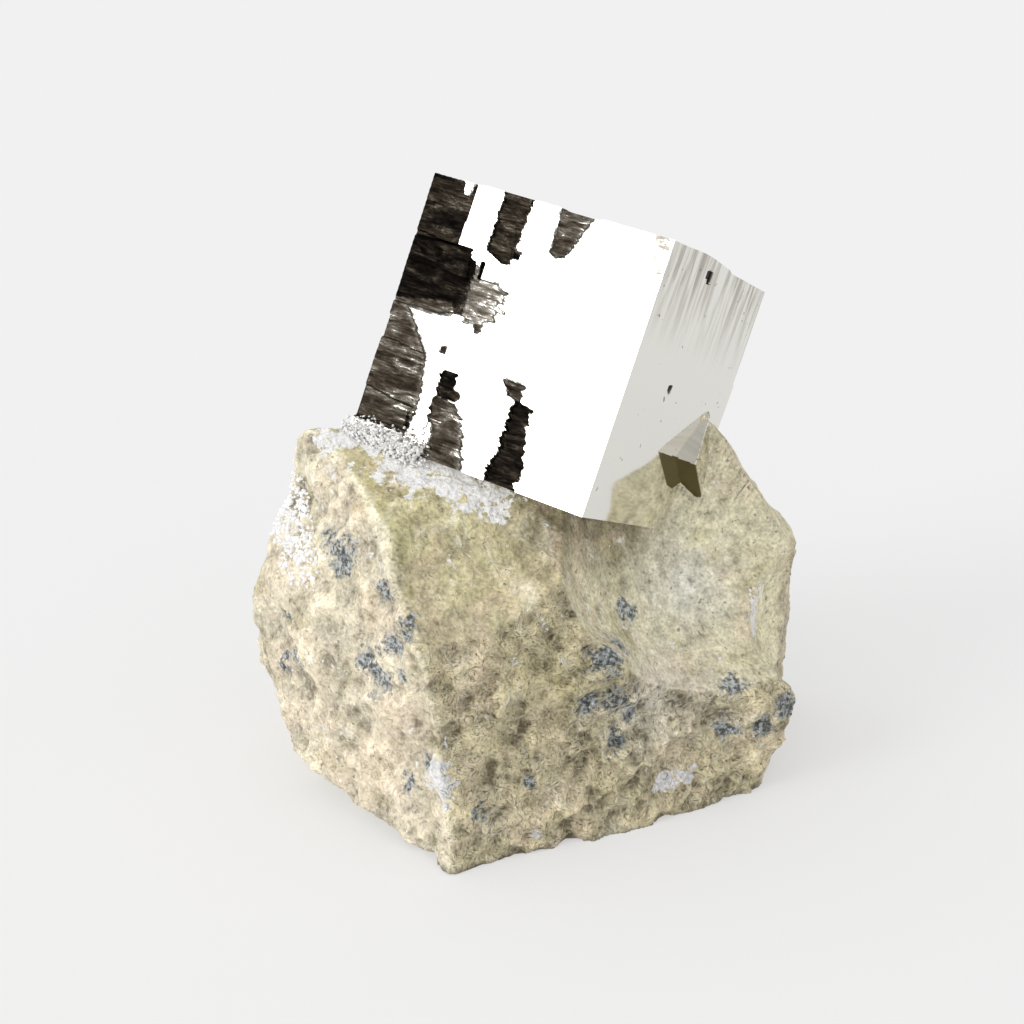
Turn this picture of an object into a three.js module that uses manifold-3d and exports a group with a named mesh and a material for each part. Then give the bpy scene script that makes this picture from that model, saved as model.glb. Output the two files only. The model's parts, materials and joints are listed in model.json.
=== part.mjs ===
// A pyrite cube grown in a block of pale marl, with a small companion crystal and two calcite crusts.
// Millimetres, +Z up. The block stands on its flat base at z = 0.
import * as THREE from 'three';
import { ConvexGeometry } from 'three/addons/geometries/ConvexGeometry.js';
import { mergeVertices } from 'three/addons/utils/BufferGeometryUtils.js';
import Module from 'manifold-3d';

const wasm = await Module();
wasm.setup();

// ---- driving dimensions -------------------------------------------------------------------

const CUBE_EDGE = 30;
const CUBE_CENTRE = new THREE.Vector3(5.9, 11.2, 48.1);
const CUBE_TURN_DEG = -31.5; // about the upright axis
const CUBE_LEAN_DEG = 8.8; // sideways
const CUBE_TIP_DEG = -21.8; // back to front
const CONTACT_GAP = 0.3; // clearance between two pieces that touch

const ROCK_HEART = new THREE.Vector3(12, 4, 12); // every point of the block is seen from here
const ROCK_GRID = 21; // cells along each side of the six direction patches
const ROCK_EDGE_SHARPNESS = 40; // higher makes crisper edges between fractures
const ROCK_CROWDING = new THREE.Vector3(-0.28, -0.12, 0.04); // draws grid lines to the far left end
const BASE_TRIM = 2; // the block is grown this far below z = 0, then cut flat
const ROOM = { low: [-60, -60, 0], high: [60, 60, 90] }; // what is kept of the block lies in here

// Flat fractures of the block: the way each faces, and how far from the heart it lies.
const FRACTURES = {
  front: { facing: [0.45, -0.88, 0.14], reach: 12 },
  leftUpper: { facing: [-0.72, -0.62, 0.3], reach: 34 },
  leftLower: { facing: [-0.7, -0.71, 0], reach: 30.5 },
  leftUnder: { facing: [-0.93, -0.1, -0.35], reach: 37 },
  leftFoot: { facing: [-0.6, -0.35, -0.72], reach: 29 },
  leftBack: { facing: [-0.85, 0.45, 0.28], reach: 38 },
  peakBack: { facing: [-0.25, 0.35, 0.9], reach: 34 },
  shoulder: { facing: [0, -0.5, 0.85], reach: 27 },
  brow: { facing: [0.2, -0.7, 0.68], reach: 21.5 },
  rightUpper: { facing: [0.83, 0, 0.56], reach: 25 },
  right: { facing: [0.97, -0.2, -0.05], reach: 18.5 },
  rightFoot: { facing: [0.8, -0.45, -0.4], reach: 23 },
  back: { facing: [0.2, 0.97, 0.12], reach: 24.5 },
  backUpper: { facing: [0.25, 0.72, 0.65], reach: 28 },
  backFoot: { facing: [0.1, 0.8, -0.55], reach: 22.5 },
};

// Hollow fractures, each part of a ball struck out of the block.
const HOLLOWS = {
  brow: { centre: [4, -36, 52], radius: 34.5 },
  bay: { centre: [32, -17, 37], radius: 28.5 },
  notch: { centre: [38.5, 3, 18.5], radius: 11 },
  pocket: { centre: [7, -15, 34.5], radius: 7.5 },
  rear: { centre: [-2, 58, 24], radius: 30.5 },
};

// Soft swellings: a point of the surface, how far it is raised there, and over what distance.
const SWELLINGS = {
  nodule: { at: [11, -12, 20.5], rise: 4.2, spread: 4 },
  peak: { at: [-21, 2, 40.5], rise: 2, spread: 3 },
  rightHeel: { at: [32, -2, 10], rise: 2.6, spread: 6 },
  ledge: { at: [-1, -18, 20], rise: 1.5, spread: 6 },
  ridge: { at: [-13, -13, 33], rise: 1.2, spread: 5 },
};

// Shallow growth steps cut into the cube's faces, in the cube's own axes, from its centre:
// the lowest and highest corner of each cut.
const HALF = CUBE_EDGE / 2;
const STEP_CUT = HALF + 1; // stands clear of the face
const GROWTH_STEPS = {
  frontLeftColumn: { low: [-STEP_CUT, -STEP_CUT, 8], high: [-9.2, 0.25 - HALF, STEP_CUT] },
  frontUpperSlot: { low: [-5.6, -STEP_CUT, 7.6], high: [-2.2, 0.2 - HALF, STEP_CUT] },
  frontTopNotch: { low: [1.3, -STEP_CUT, 11.5], high: [4.8, 0.15 - HALF, STEP_CUT] },
  frontMiddleLeft: { low: [-STEP_CUT, -STEP_CUT, 0.4], high: [-6.4, 0.35 - HALF, 8] },
  frontLowerColumn: { low: [3.3, -STEP_CUT, -14.4], high: [6, 0.2 - HALF, -6.2] },
  leftSideUpper: { low: [-STEP_CUT, -STEP_CUT, -4], high: [0.4 - HALF, 4, STEP_CUT] },
  topRearTread: { low: [-4, 3, HALF - 0.3], high: [STEP_CUT, STEP_CUT, STEP_CUT] },
};

// The companion crystal, in the cube's axes: its foot lies against the cube's right face.
const COMPANION_WAIST = new THREE.Vector3(HALF + CONTACT_GAP, 8, -6); // the middle of its foot
const COMPANION_SIZE = new THREE.Vector3(2, 3.5, 5.5); // how far it reaches out, back and up
// Each corner's place from the waist, as shares of the size.
const COMPANION_SHARES = {
  footFront: [0, -1, 0],
  footLow: [0, 1, -0.9],
  footTop: [0, 0.5, 1],
  outerFront: [1, -0.75, 0],
  outerLow: [1, 0.75, -0.75],
  outerBack: [0.8, 0.6, 0],
  upper: [0.4, 0, 0.6],
};
const COMPANION_SOCKET = 0.55; // how far the socket's corners stand off the crystal's corners

// Calcite crusts on the block: where each is centred, its half sizes, and its turn about +Z.
const CRUSTS = {
  calcite_shoulder: { centre: [-26.4, 3.6, 30.8], half: [3.4, 5.2, 5.6], turnDeg: -20, knobs: 9 },
  calcite_notch: { centre: [30.6, 6.4, 21.2], half: [1.9, 2.8, 2.4], turnDeg: 10, knobs: 7 },
};
const CRUST_DETAIL = 4; // subdivisions of the icosahedron that each crust starts from
const CRUST_KNOB_HEIGHT = 0.12; // as a share of the crust's own half size
const CRUST_KNOB_PHASES = { y: 1, z: 2 }; // radians, so that the knobs don't line up
const CRUST_STAND_OFF = 0.4; // along the rays from the heart, which keeps the contact gap

const MERGE_DISTANCE = 1e-4; // corners closer than this are one
const GRAZING = 1e-6; // a ray that closes on a fracture more slowly than this never meets it

// ---- materials ----------------------------------------------------------------------------

const marl = () => new THREE.MeshStandardMaterial({ color: 0xcbbf9a, roughness: 0.95, metalness: 0 });
const pyrite = () => new THREE.MeshStandardMaterial({ color: 0xcfc8ae, roughness: 0.16, metalness: 1 });
const calcite = () => new THREE.MeshStandardMaterial({ color: 0xf0eeea, roughness: 0.7, metalness: 0 });

// ---- solids -------------------------------------------------------------------------------

/** A closed solid from a geometry, its shared corners merged. */
function solidFrom(geometry) {
  const bare = geometry.clone();
  for (const name of Object.keys(bare.attributes)) {
    if (name !== 'position') bare.deleteAttribute(name);
  }
  const merged = mergeVertices(bare, MERGE_DISTANCE);
  const vertProperties = Float32Array.from(merged.attributes.position.array);
  const triVerts = Uint32Array.from(merged.index.array);
  return new wasm.Manifold(new wasm.Mesh({ numProp: 3, vertProperties, triVerts }));
}

/** The geometry of a solid. */
function geometryFrom(solid) {
  const mesh = solid.getMesh();
  const geometry = new THREE.BufferGeometry();
  geometry.setAttribute('position', new THREE.BufferAttribute(mesh.vertProperties, mesh.numProp));
  geometry.setIndex(new THREE.BufferAttribute(mesh.triVerts, 1));
  geometry.computeVertexNormals();
  return geometry;
}

/** The largest separate piece of a solid, without the crumbs that a cut can leave. */
function largestPiece(solid) {
  const pieces = solid.decompose();
  return pieces.reduce((best, piece) => (piece.volume() > best.volume() ? piece : best));
}

/** A box between two opposite corners. */
function boxBetween(low, high) {
  const size = high.map((value, axis) => value - low[axis]);
  const middle = high.map((value, axis) => (value + low[axis]) / 2);
  return new THREE.BoxGeometry(...size).translate(...middle);
}

/** The turn from the cube's axes to the specimen's, with the cube's centre as the origin. */
function cubePlacement() {
  const turn = new THREE.Euler(
    THREE.MathUtils.degToRad(CUBE_TIP_DEG),
    THREE.MathUtils.degToRad(CUBE_LEAN_DEG),
    THREE.MathUtils.degToRad(CUBE_TURN_DEG),
    'ZYX',
  );
  const placement = new THREE.Matrix4().makeRotationFromEuler(turn);
  return placement.setPosition(CUBE_CENTRE);
}

// ---- the cube and its companion -----------------------------------------------------------

/** The pyrite cube in its own axes, with the larger growth steps cut into its faces. */
function cubeSolid() {
  let solid = solidFrom(new THREE.BoxGeometry(CUBE_EDGE, CUBE_EDGE, CUBE_EDGE));
  for (const { low, high } of Object.values(GROWTH_STEPS)) {
    solid = solid.subtract(solidFrom(boxBetween(low, high)));
  }
  return solid;
}

/** The companion crystal in the cube's axes, or its socket when the corners stand off. */
function companionGeometry(standOff) {
  const corners = Object.values(COMPANION_SHARES).map((share) =>
    new THREE.Vector3(...share).multiply(COMPANION_SIZE).add(COMPANION_WAIST),
  );
  const middle = corners.reduce((sum, corner) => sum.add(corner), new THREE.Vector3());
  middle.divideScalar(corners.length);
  const moved = corners.map((corner) => {
    const away = corner.clone().sub(middle).normalize();
    return corner.clone().addScaledVector(away, standOff);
  });
  return new ConvexGeometry(moved);
}

// ---- the block ----------------------------------------------------------------------------

/** Unit directions over a sphere as six square patches, with the triangles that join them. */
function directionPatches(cells, crowding) {
  const directions = [];
  const index = [];
  const lines = Array.from({ length: cells + 1 }, (_, k) => Math.tan((k / cells - 0.5) * (Math.PI / 2)));
  for (let axis = 0; axis < 3; axis += 1) {
    for (const side of [1, -1]) {
      const first = directions.length;
      for (const u of lines) {
        for (const v of lines) {
          const parts = [0, 0, 0];
          parts[axis] = side;
          parts[(axis + 1) % 3] = u * side;
          parts[(axis + 2) % 3] = v;
          directions.push(new THREE.Vector3(...parts).normalize().add(crowding).normalize());
        }
      }
      for (let row = 0; row < cells; row += 1) {
        for (let column = 0; column < cells; column += 1) {
          const a = first + row * (cells + 1) + column;
          const b = a + cells + 1;
          index.push(a, b, b + 1, a, b + 1, a + 1);
        }
      }
    }
  }
  return { directions, index };
}

/** How far a ray from the heart goes to a flat fracture, or Infinity where it never meets it. */
function reachToFracture(direction, { facing, reach }) {
  const closing = direction.dot(new THREE.Vector3(...facing).normalize());
  return closing < GRAZING ? Infinity : reach / closing;
}

/** How far a ray from the heart goes to a hollow, or Infinity where it passes it by. */
function reachToHollow(direction, { centre, radius }) {
  const offset = ROCK_HEART.clone().sub(new THREE.Vector3(...centre));
  const along = direction.dot(offset);
  const inside = along * along - offset.lengthSq() + radius * radius;
  if (inside <= 0 || along >= 0) return Infinity;
  return -along - Math.sqrt(inside);
}

/** The extra reach that the soft swellings give a ray from the heart. */
function swelling(direction) {
  let rise = 0;
  for (const lobe of Object.values(SWELLINGS)) {
    const offset = new THREE.Vector3(...lobe.at).sub(ROCK_HEART);
    const distance = offset.length();
    const cosine = direction.dot(offset) / distance;
    rise += lobe.rise * Math.exp(-2 * (1 - cosine) * (distance / lobe.spread) ** 2);
  }
  return rise;
}

/** The block's surface along a ray: the nearest fracture or hollow, rounded, then swollen. */
function rockReach(direction) {
  const reaches = [
    ...Object.values(FRACTURES).map((fracture) => reachToFracture(direction, fracture)),
    ...Object.values(HOLLOWS).map((hollow) => reachToHollow(direction, hollow)),
  ];
  const blended = reaches.reduce((sum, reach) => sum + reach ** -ROCK_EDGE_SHARPNESS, 0);
  const outer = blended ** (-1 / ROCK_EDGE_SHARPNESS) + swelling(direction);
  const down = direction.z < 0 ? (ROCK_HEART.z + BASE_TRIM) / -direction.z : Infinity;
  return Math.min(outer, down);
}

/** The block before its seats are cut, its surface stood off by the given distance. */
function rockGeometry(standOff) {
  const { directions, index } = directionPatches(ROCK_GRID, ROCK_CROWDING);
  const points = directions.map((direction) => {
    const reach = rockReach(direction) + standOff;
    return ROCK_HEART.clone().addScaledVector(direction, reach);
  });
  const geometry = new THREE.BufferGeometry().setFromPoints(points);
  geometry.setIndex(index);
  return geometry;
}

/** The block of marl: cut flat below, with a seat for the cube and a socket for its companion. */
function rockSolid(placement) {
  const seatEdge = CUBE_EDGE + 2 * CONTACT_GAP;
  const seat = new THREE.BoxGeometry(seatEdge, seatEdge, seatEdge).applyMatrix4(placement);
  const socket = companionGeometry(COMPANION_SOCKET).applyMatrix4(placement);
  const room = boxBetween(ROOM.low, ROOM.high);
  const cut = solidFrom(rockGeometry(0))
    .intersect(solidFrom(room))
    .subtract(solidFrom(seat))
    .subtract(solidFrom(socket));
  return largestPiece(cut);
}

// ---- calcite ------------------------------------------------------------------------------

/** A knobbly crust of calcite, cut back to lie on the block with the contact gap. */
function crustSolid({ centre, half, turnDeg, knobs }) {
  const facets = new THREE.IcosahedronGeometry(1, CRUST_DETAIL);
  facets.deleteAttribute('normal');
  facets.deleteAttribute('uv');
  const ball = mergeVertices(facets, MERGE_DISTANCE);
  const position = ball.attributes.position;
  const way = new THREE.Vector3();
  for (let k = 0; k < position.count; k += 1) {
    way.fromBufferAttribute(position, k);
    const across = Math.sin(knobs * way.x) * Math.sin(knobs * way.y + CRUST_KNOB_PHASES.y);
    const waves = across + Math.sin(knobs * way.z + CRUST_KNOB_PHASES.z);
    way.multiplyScalar(1 + CRUST_KNOB_HEIGHT * waves);
    position.setXYZ(k, way.x, way.y, way.z);
  }
  ball.scale(...half);
  ball.rotateZ(THREE.MathUtils.degToRad(turnDeg));
  ball.translate(...centre);
  const rock = solidFrom(rockGeometry(CRUST_STAND_OFF));
  return largestPiece(solidFrom(ball).subtract(rock));
}

// ---- the specimen -------------------------------------------------------------------------

/** A named mesh. */
function piece(name, geometry, material) {
  const mesh = new THREE.Mesh(geometry, material);
  mesh.name = name;
  return mesh;
}

/** The specimen, with its origin below the middle of its bounding box, on its base. */
function specimen() {
  const placement = cubePlacement();
  const crystals = new THREE.Group();
  crystals.add(piece('pyrite_cube', geometryFrom(cubeSolid()), pyrite()));
  crystals.add(piece('companion_crystal', companionGeometry(0), pyrite()));
  crystals.applyMatrix4(placement);

  const whole = new THREE.Group();
  whole.add(crystals);
  whole.add(piece('marl_block', geometryFrom(rockSolid(placement)), marl()));
  for (const [name, crust] of Object.entries(CRUSTS)) {
    whole.add(piece(name, geometryFrom(crustSolid(crust)), calcite()));
  }

  const bounds = new THREE.Box3().setFromObject(whole, true);
  const middle = bounds.getCenter(new THREE.Vector3());
  whole.position.set(-middle.x, -middle.y, -bounds.min.z);
  return whole;
}

export default specimen();
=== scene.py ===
"""A pyrite cube grown in a block of marl: its looks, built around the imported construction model.

Lengths are millimetres in the specimen's design axes, unless a name says metres: x to the right,
y away from the viewer, z up, and the block's base on z = 0. Placement turns them into the frame's metres.
"""

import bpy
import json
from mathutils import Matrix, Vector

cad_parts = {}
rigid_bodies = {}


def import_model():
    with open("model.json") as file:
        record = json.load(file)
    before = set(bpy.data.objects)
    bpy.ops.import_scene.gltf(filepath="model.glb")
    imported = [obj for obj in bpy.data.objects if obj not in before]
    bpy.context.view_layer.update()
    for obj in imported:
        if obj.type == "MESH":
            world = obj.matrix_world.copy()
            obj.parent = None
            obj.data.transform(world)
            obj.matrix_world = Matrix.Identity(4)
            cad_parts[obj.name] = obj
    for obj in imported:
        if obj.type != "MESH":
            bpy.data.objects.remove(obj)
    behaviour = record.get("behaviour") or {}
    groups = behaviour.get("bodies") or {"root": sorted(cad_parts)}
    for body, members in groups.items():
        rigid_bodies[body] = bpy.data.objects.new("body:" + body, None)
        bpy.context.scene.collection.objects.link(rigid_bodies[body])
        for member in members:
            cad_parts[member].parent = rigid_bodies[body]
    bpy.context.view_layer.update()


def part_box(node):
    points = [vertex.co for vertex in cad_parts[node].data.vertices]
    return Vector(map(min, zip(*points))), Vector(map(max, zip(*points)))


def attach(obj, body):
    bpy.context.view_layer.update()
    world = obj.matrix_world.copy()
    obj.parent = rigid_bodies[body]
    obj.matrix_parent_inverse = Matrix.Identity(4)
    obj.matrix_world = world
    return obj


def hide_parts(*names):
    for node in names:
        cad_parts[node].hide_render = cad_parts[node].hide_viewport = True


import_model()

import itertools
import json
import logging
import math
from dataclasses import dataclass
from enum import Enum

import bpy
import numpy as np

LOG = logging.getLogger("pyrite")
MM = 0.001
BODY = "root"
Array = np.ndarray
Socket = bpy.types.NodeSocket
Vec = tuple[float, float, float]
Colour = tuple[float, float, float]
Way = tuple[float, float]


# ---- noise ---------------------------------------------------------------------------------


def unit(vectors: Array | Vec) -> Array:
    """Vectors divided by their lengths."""
    vectors = np.asarray(vectors, float)
    return vectors / np.linalg.norm(vectors, axis=-1, keepdims=True)


def smoothstep(low: float | Array, high: float | Array, value: Array) -> Array:
    """3 t^2 - 2 t^3, with t the share of the way from low to high."""
    t = np.clip((value - low) / (high - low), 0.0, 1.0)
    return t * t * (3.0 - 2.0 * t)


def lattice_hash(cells: Array, seed: int) -> Array:
    """A scrambled 32-bit number for each whole-numbered cell.

    Args:
        cells: whole numbers, one row of three for each point.
        seed: picks one of many unrelated sets.

    Returns:
        h = (x a) xor (y b) xor (z c) xor (seed d), stirred twice by shifts and products.
    """
    x, y, z = (cells[..., k].astype(np.uint32) for k in range(3))
    h = (x * np.uint32(73856093)) ^ (y * np.uint32(19349663)) ^ (z * np.uint32(83492791))
    h ^= np.uint32(seed * 2654435761 % 2**32)
    for shift, factor in ((16, 2246822519), (13, 3266489917)):
        h ^= h >> np.uint32(shift)
        h *= np.uint32(factor)
    return h ^ (h >> np.uint32(16))


def random_vectors(h: Array) -> Array:
    """Three numbers from -1 to 1 out of each 32-bit number, ten bits for each."""
    parts = [(h >> np.uint32(shift)) & np.uint32(1023) for shift in (0, 10, 20)]
    return np.stack(parts, axis=-1) / 511.5 - 1.0


def gradient_noise(points: Array, wavelength: float, seed: int) -> Array:
    """Smooth noise between about -1 and 1.

    Args:
        points: places, in the same unit as the wavelength.
        wavelength: the size of the lattice's cells.
        seed: picks the pattern.

    Returns:
        The sum over a cell's eight corners of fade(offset) times (random gradient . offset).
    """
    q = np.asarray(points) / wavelength
    base = np.floor(q).astype(np.int64)
    offset = q - base
    fade = offset**3 * (offset * (offset * 6.0 - 15.0) + 10.0)
    total = np.zeros(len(q))
    for corner in itertools.product((0, 1), repeat=3):
        step = np.array(corner)
        gradient = random_vectors(lattice_hash(base + step, seed))
        weight = np.prod(np.where(step, fade, 1.0 - fade), axis=-1)
        total += weight * ((offset - step) * gradient).sum(-1)
    return total


def fractal(points: Array, wavelength: float, octaves: int, seed: int, gain: float = 0.5) -> Array:
    """Octaves of gradient noise.

    Args:
        points: places, in the same unit as the wavelength.
        wavelength: the cell size of the first octave.
        octaves: how many there are.
        seed: picks the pattern.
        gain: how high each octave is, as a share of the last.

    Returns:
        The sum over k of gain^k x noise of wavelength / 2^k.
    """
    layers = (
        gain**k * gradient_noise(points, wavelength / 2**k, seed + 17 * k) for k in range(octaves)
    )
    return sum(layers)


def scallops(points: Array, cell: float, seed: int) -> tuple[Array, Array]:
    """Hollow chips that meet in crisp ridges.

    Args:
        points: places.
        cell: the mean width of a chip.
        seed: picks the pattern.

    Returns:
        height = min over the scattered sites of (|point - site|^2 + site weight), in cells squared,
        less 0.4; and seam = exp(-(second least - least) / 0.09), which is 1 on the ridges.
    """
    q = np.asarray(points) / cell
    base = np.floor(q).astype(np.int64)
    nearest = np.full(len(q), np.inf)
    second = np.full(len(q), np.inf)
    for step in itertools.product((-1, 0, 1), repeat=3):
        home = base + np.array(step)
        h = lattice_hash(home, seed)
        site = home + 0.5 + 0.42 * random_vectors(h)
        weight = (h >> np.uint32(7)) % np.uint32(97) / 97.0 * 0.3
        reach = ((q - site) ** 2).sum(-1) + weight
        second = np.minimum(second, np.maximum(nearest, reach))
        nearest = np.minimum(nearest, reach)
    return nearest - 0.4, np.exp((nearest - second) / 0.09)


# ---- meshes --------------------------------------------------------------------------------


@dataclass(frozen=True)
class Lattice:
    """The surface of a box of cells: whole-numbered points, outward quads, and each quad's side."""

    points: Array
    quads: Array
    sides: Array


def box_lattice(cells: tuple[int, int, int]) -> Lattice:
    """The surface of a box of cells, each point held once, so that it closes along every edge.

    Args:
        cells: how many cells there are along x, y and z.

    Returns:
        The lattice. Side 2a looks down axis a and side 2a + 1 looks up it.
    """
    spans = np.array(cells) + 1
    patches = []
    for axis in range(3):
        across, along = (axis + 1) % 3, (axis + 2) % 3
        i, j = np.meshgrid(np.arange(spans[across]), np.arange(spans[along]), indexing="ij")
        for up in (False, True):
            place = [i, i, i]
            place[axis] = np.full_like(i, cells[axis] if up else 0)
            place[across], place[along] = i, j
            key = (place[0] * spans[1] + place[1]) * spans[2] + place[2]
            corners = [key[:-1, :-1], key[1:, :-1], key[1:, 1:], key[:-1, 1:]]
            patches.append(np.stack(corners if up else corners[::-1], -1).reshape(-1, 4))
    keys, quads = np.unique(np.concatenate(patches), return_inverse=True)
    x, rest = np.divmod(keys, spans[1] * spans[2])
    y, z = np.divmod(rest, spans[2])
    sides = np.repeat(np.arange(6), [len(patch) for patch in patches])
    return Lattice(np.stack([x, y, z], -1), quads.reshape(-1, 4), sides)


def sphere_directions(lattice: Lattice, cells: int) -> Array:
    """Unit directions for a cubic lattice: each coordinate is tan of an even angle, then made unit."""
    return unit(np.tan((lattice.points / cells - 0.5) * (math.pi / 2)))


def build_mesh(
    name: str,
    points: Array,
    faces: Array,
    material: bpy.types.Material,
    smooth: bool,
    point_data: dict[str, Array] | None = None,
    corner_data: dict[str, Array] | None = None,
) -> bpy.types.Object:
    """Puts arrays into a new mesh object at the origin.

    Args:
        name: the object's name.
        points: corners in metres, in the frame.
        faces: indices of each face's corners, outward.
        material: the finish.
        smooth: whether shading runs smoothly over the faces.
        point_data: numbers or vectors for each point, by name.
        corner_data: numbers or vectors for each face corner, by name.

    Returns:
        The object, linked into the scene.
    """
    mesh = bpy.data.meshes.new(name)
    mesh.from_pydata(points.tolist(), [], faces.tolist())
    mesh.polygons.foreach_set("use_smooth", np.full(len(faces), smooth))
    for domain, table in (("POINT", point_data or {}), ("CORNER", corner_data or {})):
        for key, values in table.items():
            kind, slot = ("FLOAT_VECTOR", "vector") if values.ndim == 2 else ("FLOAT", "value")
            layer = mesh.attributes.new(key, kind, domain)
            layer.data.foreach_set(slot, np.ascontiguousarray(values, np.float32).ravel())
    mesh.materials.append(material)
    mesh.update()
    piece = bpy.data.objects.new(name, mesh)
    bpy.context.scene.collection.objects.link(piece)
    return piece


def declare(piece: bpy.types.Object, slot: str, *nodes: str) -> None:
    """Makes a piece ride on the specimen and stand for its CAD nodes.

    Args:
        piece: the finished piece.
        slot: the name of its material slot; not used.
        nodes: the CAD nodes that it stands for, if any.
    """
    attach(piece, BODY)
    if nodes:
        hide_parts(*nodes)
    LOG.info("%s: %d faces", piece.name, len(piece.data.polygons))


# ---- shader helper -------------------------------------------------------------------------


class Nodes:
    """A node tree, with short calls that add a node and give back its output."""

    def __init__(self, tree: bpy.types.NodeTree) -> None:
        """Empties a tree."""
        self.tree = tree
        self.tree.nodes.clear()

    def put(self, socket: Socket, value: object) -> None:
        """Links an output to a socket, or sets the socket's own value.

        Args:
            socket: the socket that takes it.
            value: an output, a number, a vector, or a colour of three parts.
        """
        if isinstance(value, Socket):
            self.tree.links.new(value, socket)
        elif isinstance(value, tuple) and socket.type == "RGBA":
            socket.default_value = (*value, 1.0)
        else:
            socket.default_value = value

    def add(
        self, kind: str, inputs: dict[str | int, object] | None = None, **settings: object
    ) -> bpy.types.Node:
        """Adds a node.

        Args:
            kind: the node's type, without "ShaderNode".
            inputs: outputs or values for its sockets, by name or number.
            settings: the node's own properties.

        Returns:
            The node.
        """
        node = self.tree.nodes.new("ShaderNode" + kind)
        for name, setting in settings.items():
            setattr(node, name, setting)
        for key, value in (inputs or {}).items():
            self.put(node.inputs[key], value)
        return node

    def ramp(self, value: Socket, stops: tuple[tuple[float, Colour], ...]) -> Socket:
        """A colour read off a line of colours.

        Args:
            value: the place on the line, 0 to 1.
            stops: places on the line, each with its colour, in order.

        Returns:
            The colour.
        """
        node = self.add("ValToRGB", {"Fac": value})
        elements = node.color_ramp.elements
        while len(elements) < len(stops):
            elements.new(0.5)
        for element, (place, colour) in zip(elements, stops):
            element.position = place
            element.color = (*colour, 1.0)
        return node.outputs["Color"]

    def sum(self, operation: str, first: object, second: object = 0.0, third: object = 0.0) -> Socket:
        """One step of arithmetic."""
        return self.add("Math", {0: first, 1: second, 2: third}, operation=operation).outputs["Value"]


class Finish(Nodes):
    """A material, whose nodes feed one Principled surface."""

    def __init__(self, name: str) -> None:
        """Starts a material with its surface alone.

        Args:
            name: the material's name.
        """
        self.material = bpy.data.materials.new(name)
        self.material.use_nodes = True
        super().__init__(self.material.node_tree)
        self.surface = self.add("BsdfPrincipled")
        self.add("OutputMaterial", {"Surface": self.surface.outputs["BSDF"]})

    def set(self, **values: object) -> None:
        """Sets the surface's sockets by name, with underscores for spaces."""
        for name, value in values.items():
            self.put(self.surface.inputs[name.replace("_", " ")], value)

    def objects(self) -> Socket:
        """The place on the piece, in metres."""
        return self.add("TexCoord").outputs["Object"]

    def read(self, name: str, vector: bool = False) -> Socket:
        """A number or a vector held by the mesh."""
        return self.add("Attribute", attribute_name=name).outputs["Vector" if vector else "Fac"]

    def stretch(self, vector: Socket, scale: Vec, shift: Vec = (0, 0, 0)) -> Socket:
        """A vector scaled along each axis, then shifted."""
        return self.add("Mapping", {"Vector": vector, "Scale": scale, "Location": shift}).outputs["Vector"]

    def noise(
        self, vector: Socket, scale: float, detail: float = 3.0, rough: float = 0.55, warp: float = 0.0
    ) -> Socket:
        """Cloudy noise from 0 to 1."""
        inputs = {"Vector": vector, "Scale": scale, "Detail": detail, "Roughness": rough, "Distortion": warp}
        return self.add("TexNoise", inputs).outputs["Fac"]

    def borders(self, vector: Socket, scale: float) -> Socket:
        """The distance to the border between scattered cells."""
        inputs = {"Vector": vector, "Scale": scale}
        return self.add("TexVoronoi", inputs, feature="DISTANCE_TO_EDGE").outputs["Distance"]

    def crumple(self, vector: Socket, scale: float, amount: float) -> Socket:
        """Places shoved about by coloured noise.

        Args:
            vector: the places.
            scale: the noise's scale.
            amount: how far they may go.

        Returns:
            place + amount x (a noise of three parts, each 0 to 1).
        """
        shove = self.add("TexNoise", {"Vector": vector, "Scale": scale, "Detail": 1.5}).outputs["Color"]
        inputs = {0: shove, 1: (amount,) * 3, 2: vector}
        return self.add("VectorMath", inputs, operation="MULTIPLY_ADD").outputs["Vector"]

    def step(self, value: object, low: float, high: float, start: float = 0.0, end: float = 1.0) -> Socket:
        """A smooth step from start to end as the value goes from low to high."""
        inputs = {"Value": value, "From Min": low, "From Max": high, "To Min": start, "To Max": end}
        return self.add("MapRange", inputs, interpolation_type="SMOOTHSTEP").outputs["Result"]

    def blend(self, share: object, first: object, second: object, mode: str = "MIX") -> Socket:
        """Two colours mixed by a share, or the second laid on the first in another mode.

        Args:
            share: how much of the second there is, 0 to 1.
            first: the colour below.
            second: the colour above.
            mode: the way of mixing.

        Returns:
            The mixed colour.
        """
        node = self.add("Mix", data_type="RGBA", blend_type=mode, clamp_factor=True)
        sockets = [socket for socket in node.inputs if socket.enabled]
        for socket, value in zip(sockets, (share, first, second)):
            self.put(socket, value)
        return next(socket for socket in node.outputs if socket.enabled)

    def bump(self, height: object, depth: float, strength: object = 1.0, under: object = None) -> Socket:
        """A normal bent by a height.

        Args:
            height: the height, as a share of the depth.
            depth: what a height of 1 stands for, in metres.
            strength: how much of the bend shows.
            under: a normal that this one goes over, if any.

        Returns:
            The normal.
        """
        inputs = {"Height": height, "Distance": depth, "Strength": strength}
        if under is not None:
            inputs["Normal"] = under
        return self.add("Bump", inputs).outputs["Normal"]


# ---- placement -----------------------------------------------------------------------------


class Side(Enum):
    """The cube's sides, as box_lattice numbers them."""

    LEFT = 0
    RIGHT = 1
    FRONT = 2
    BACK = 3
    BOTTOM = 4
    TOP = 5


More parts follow.
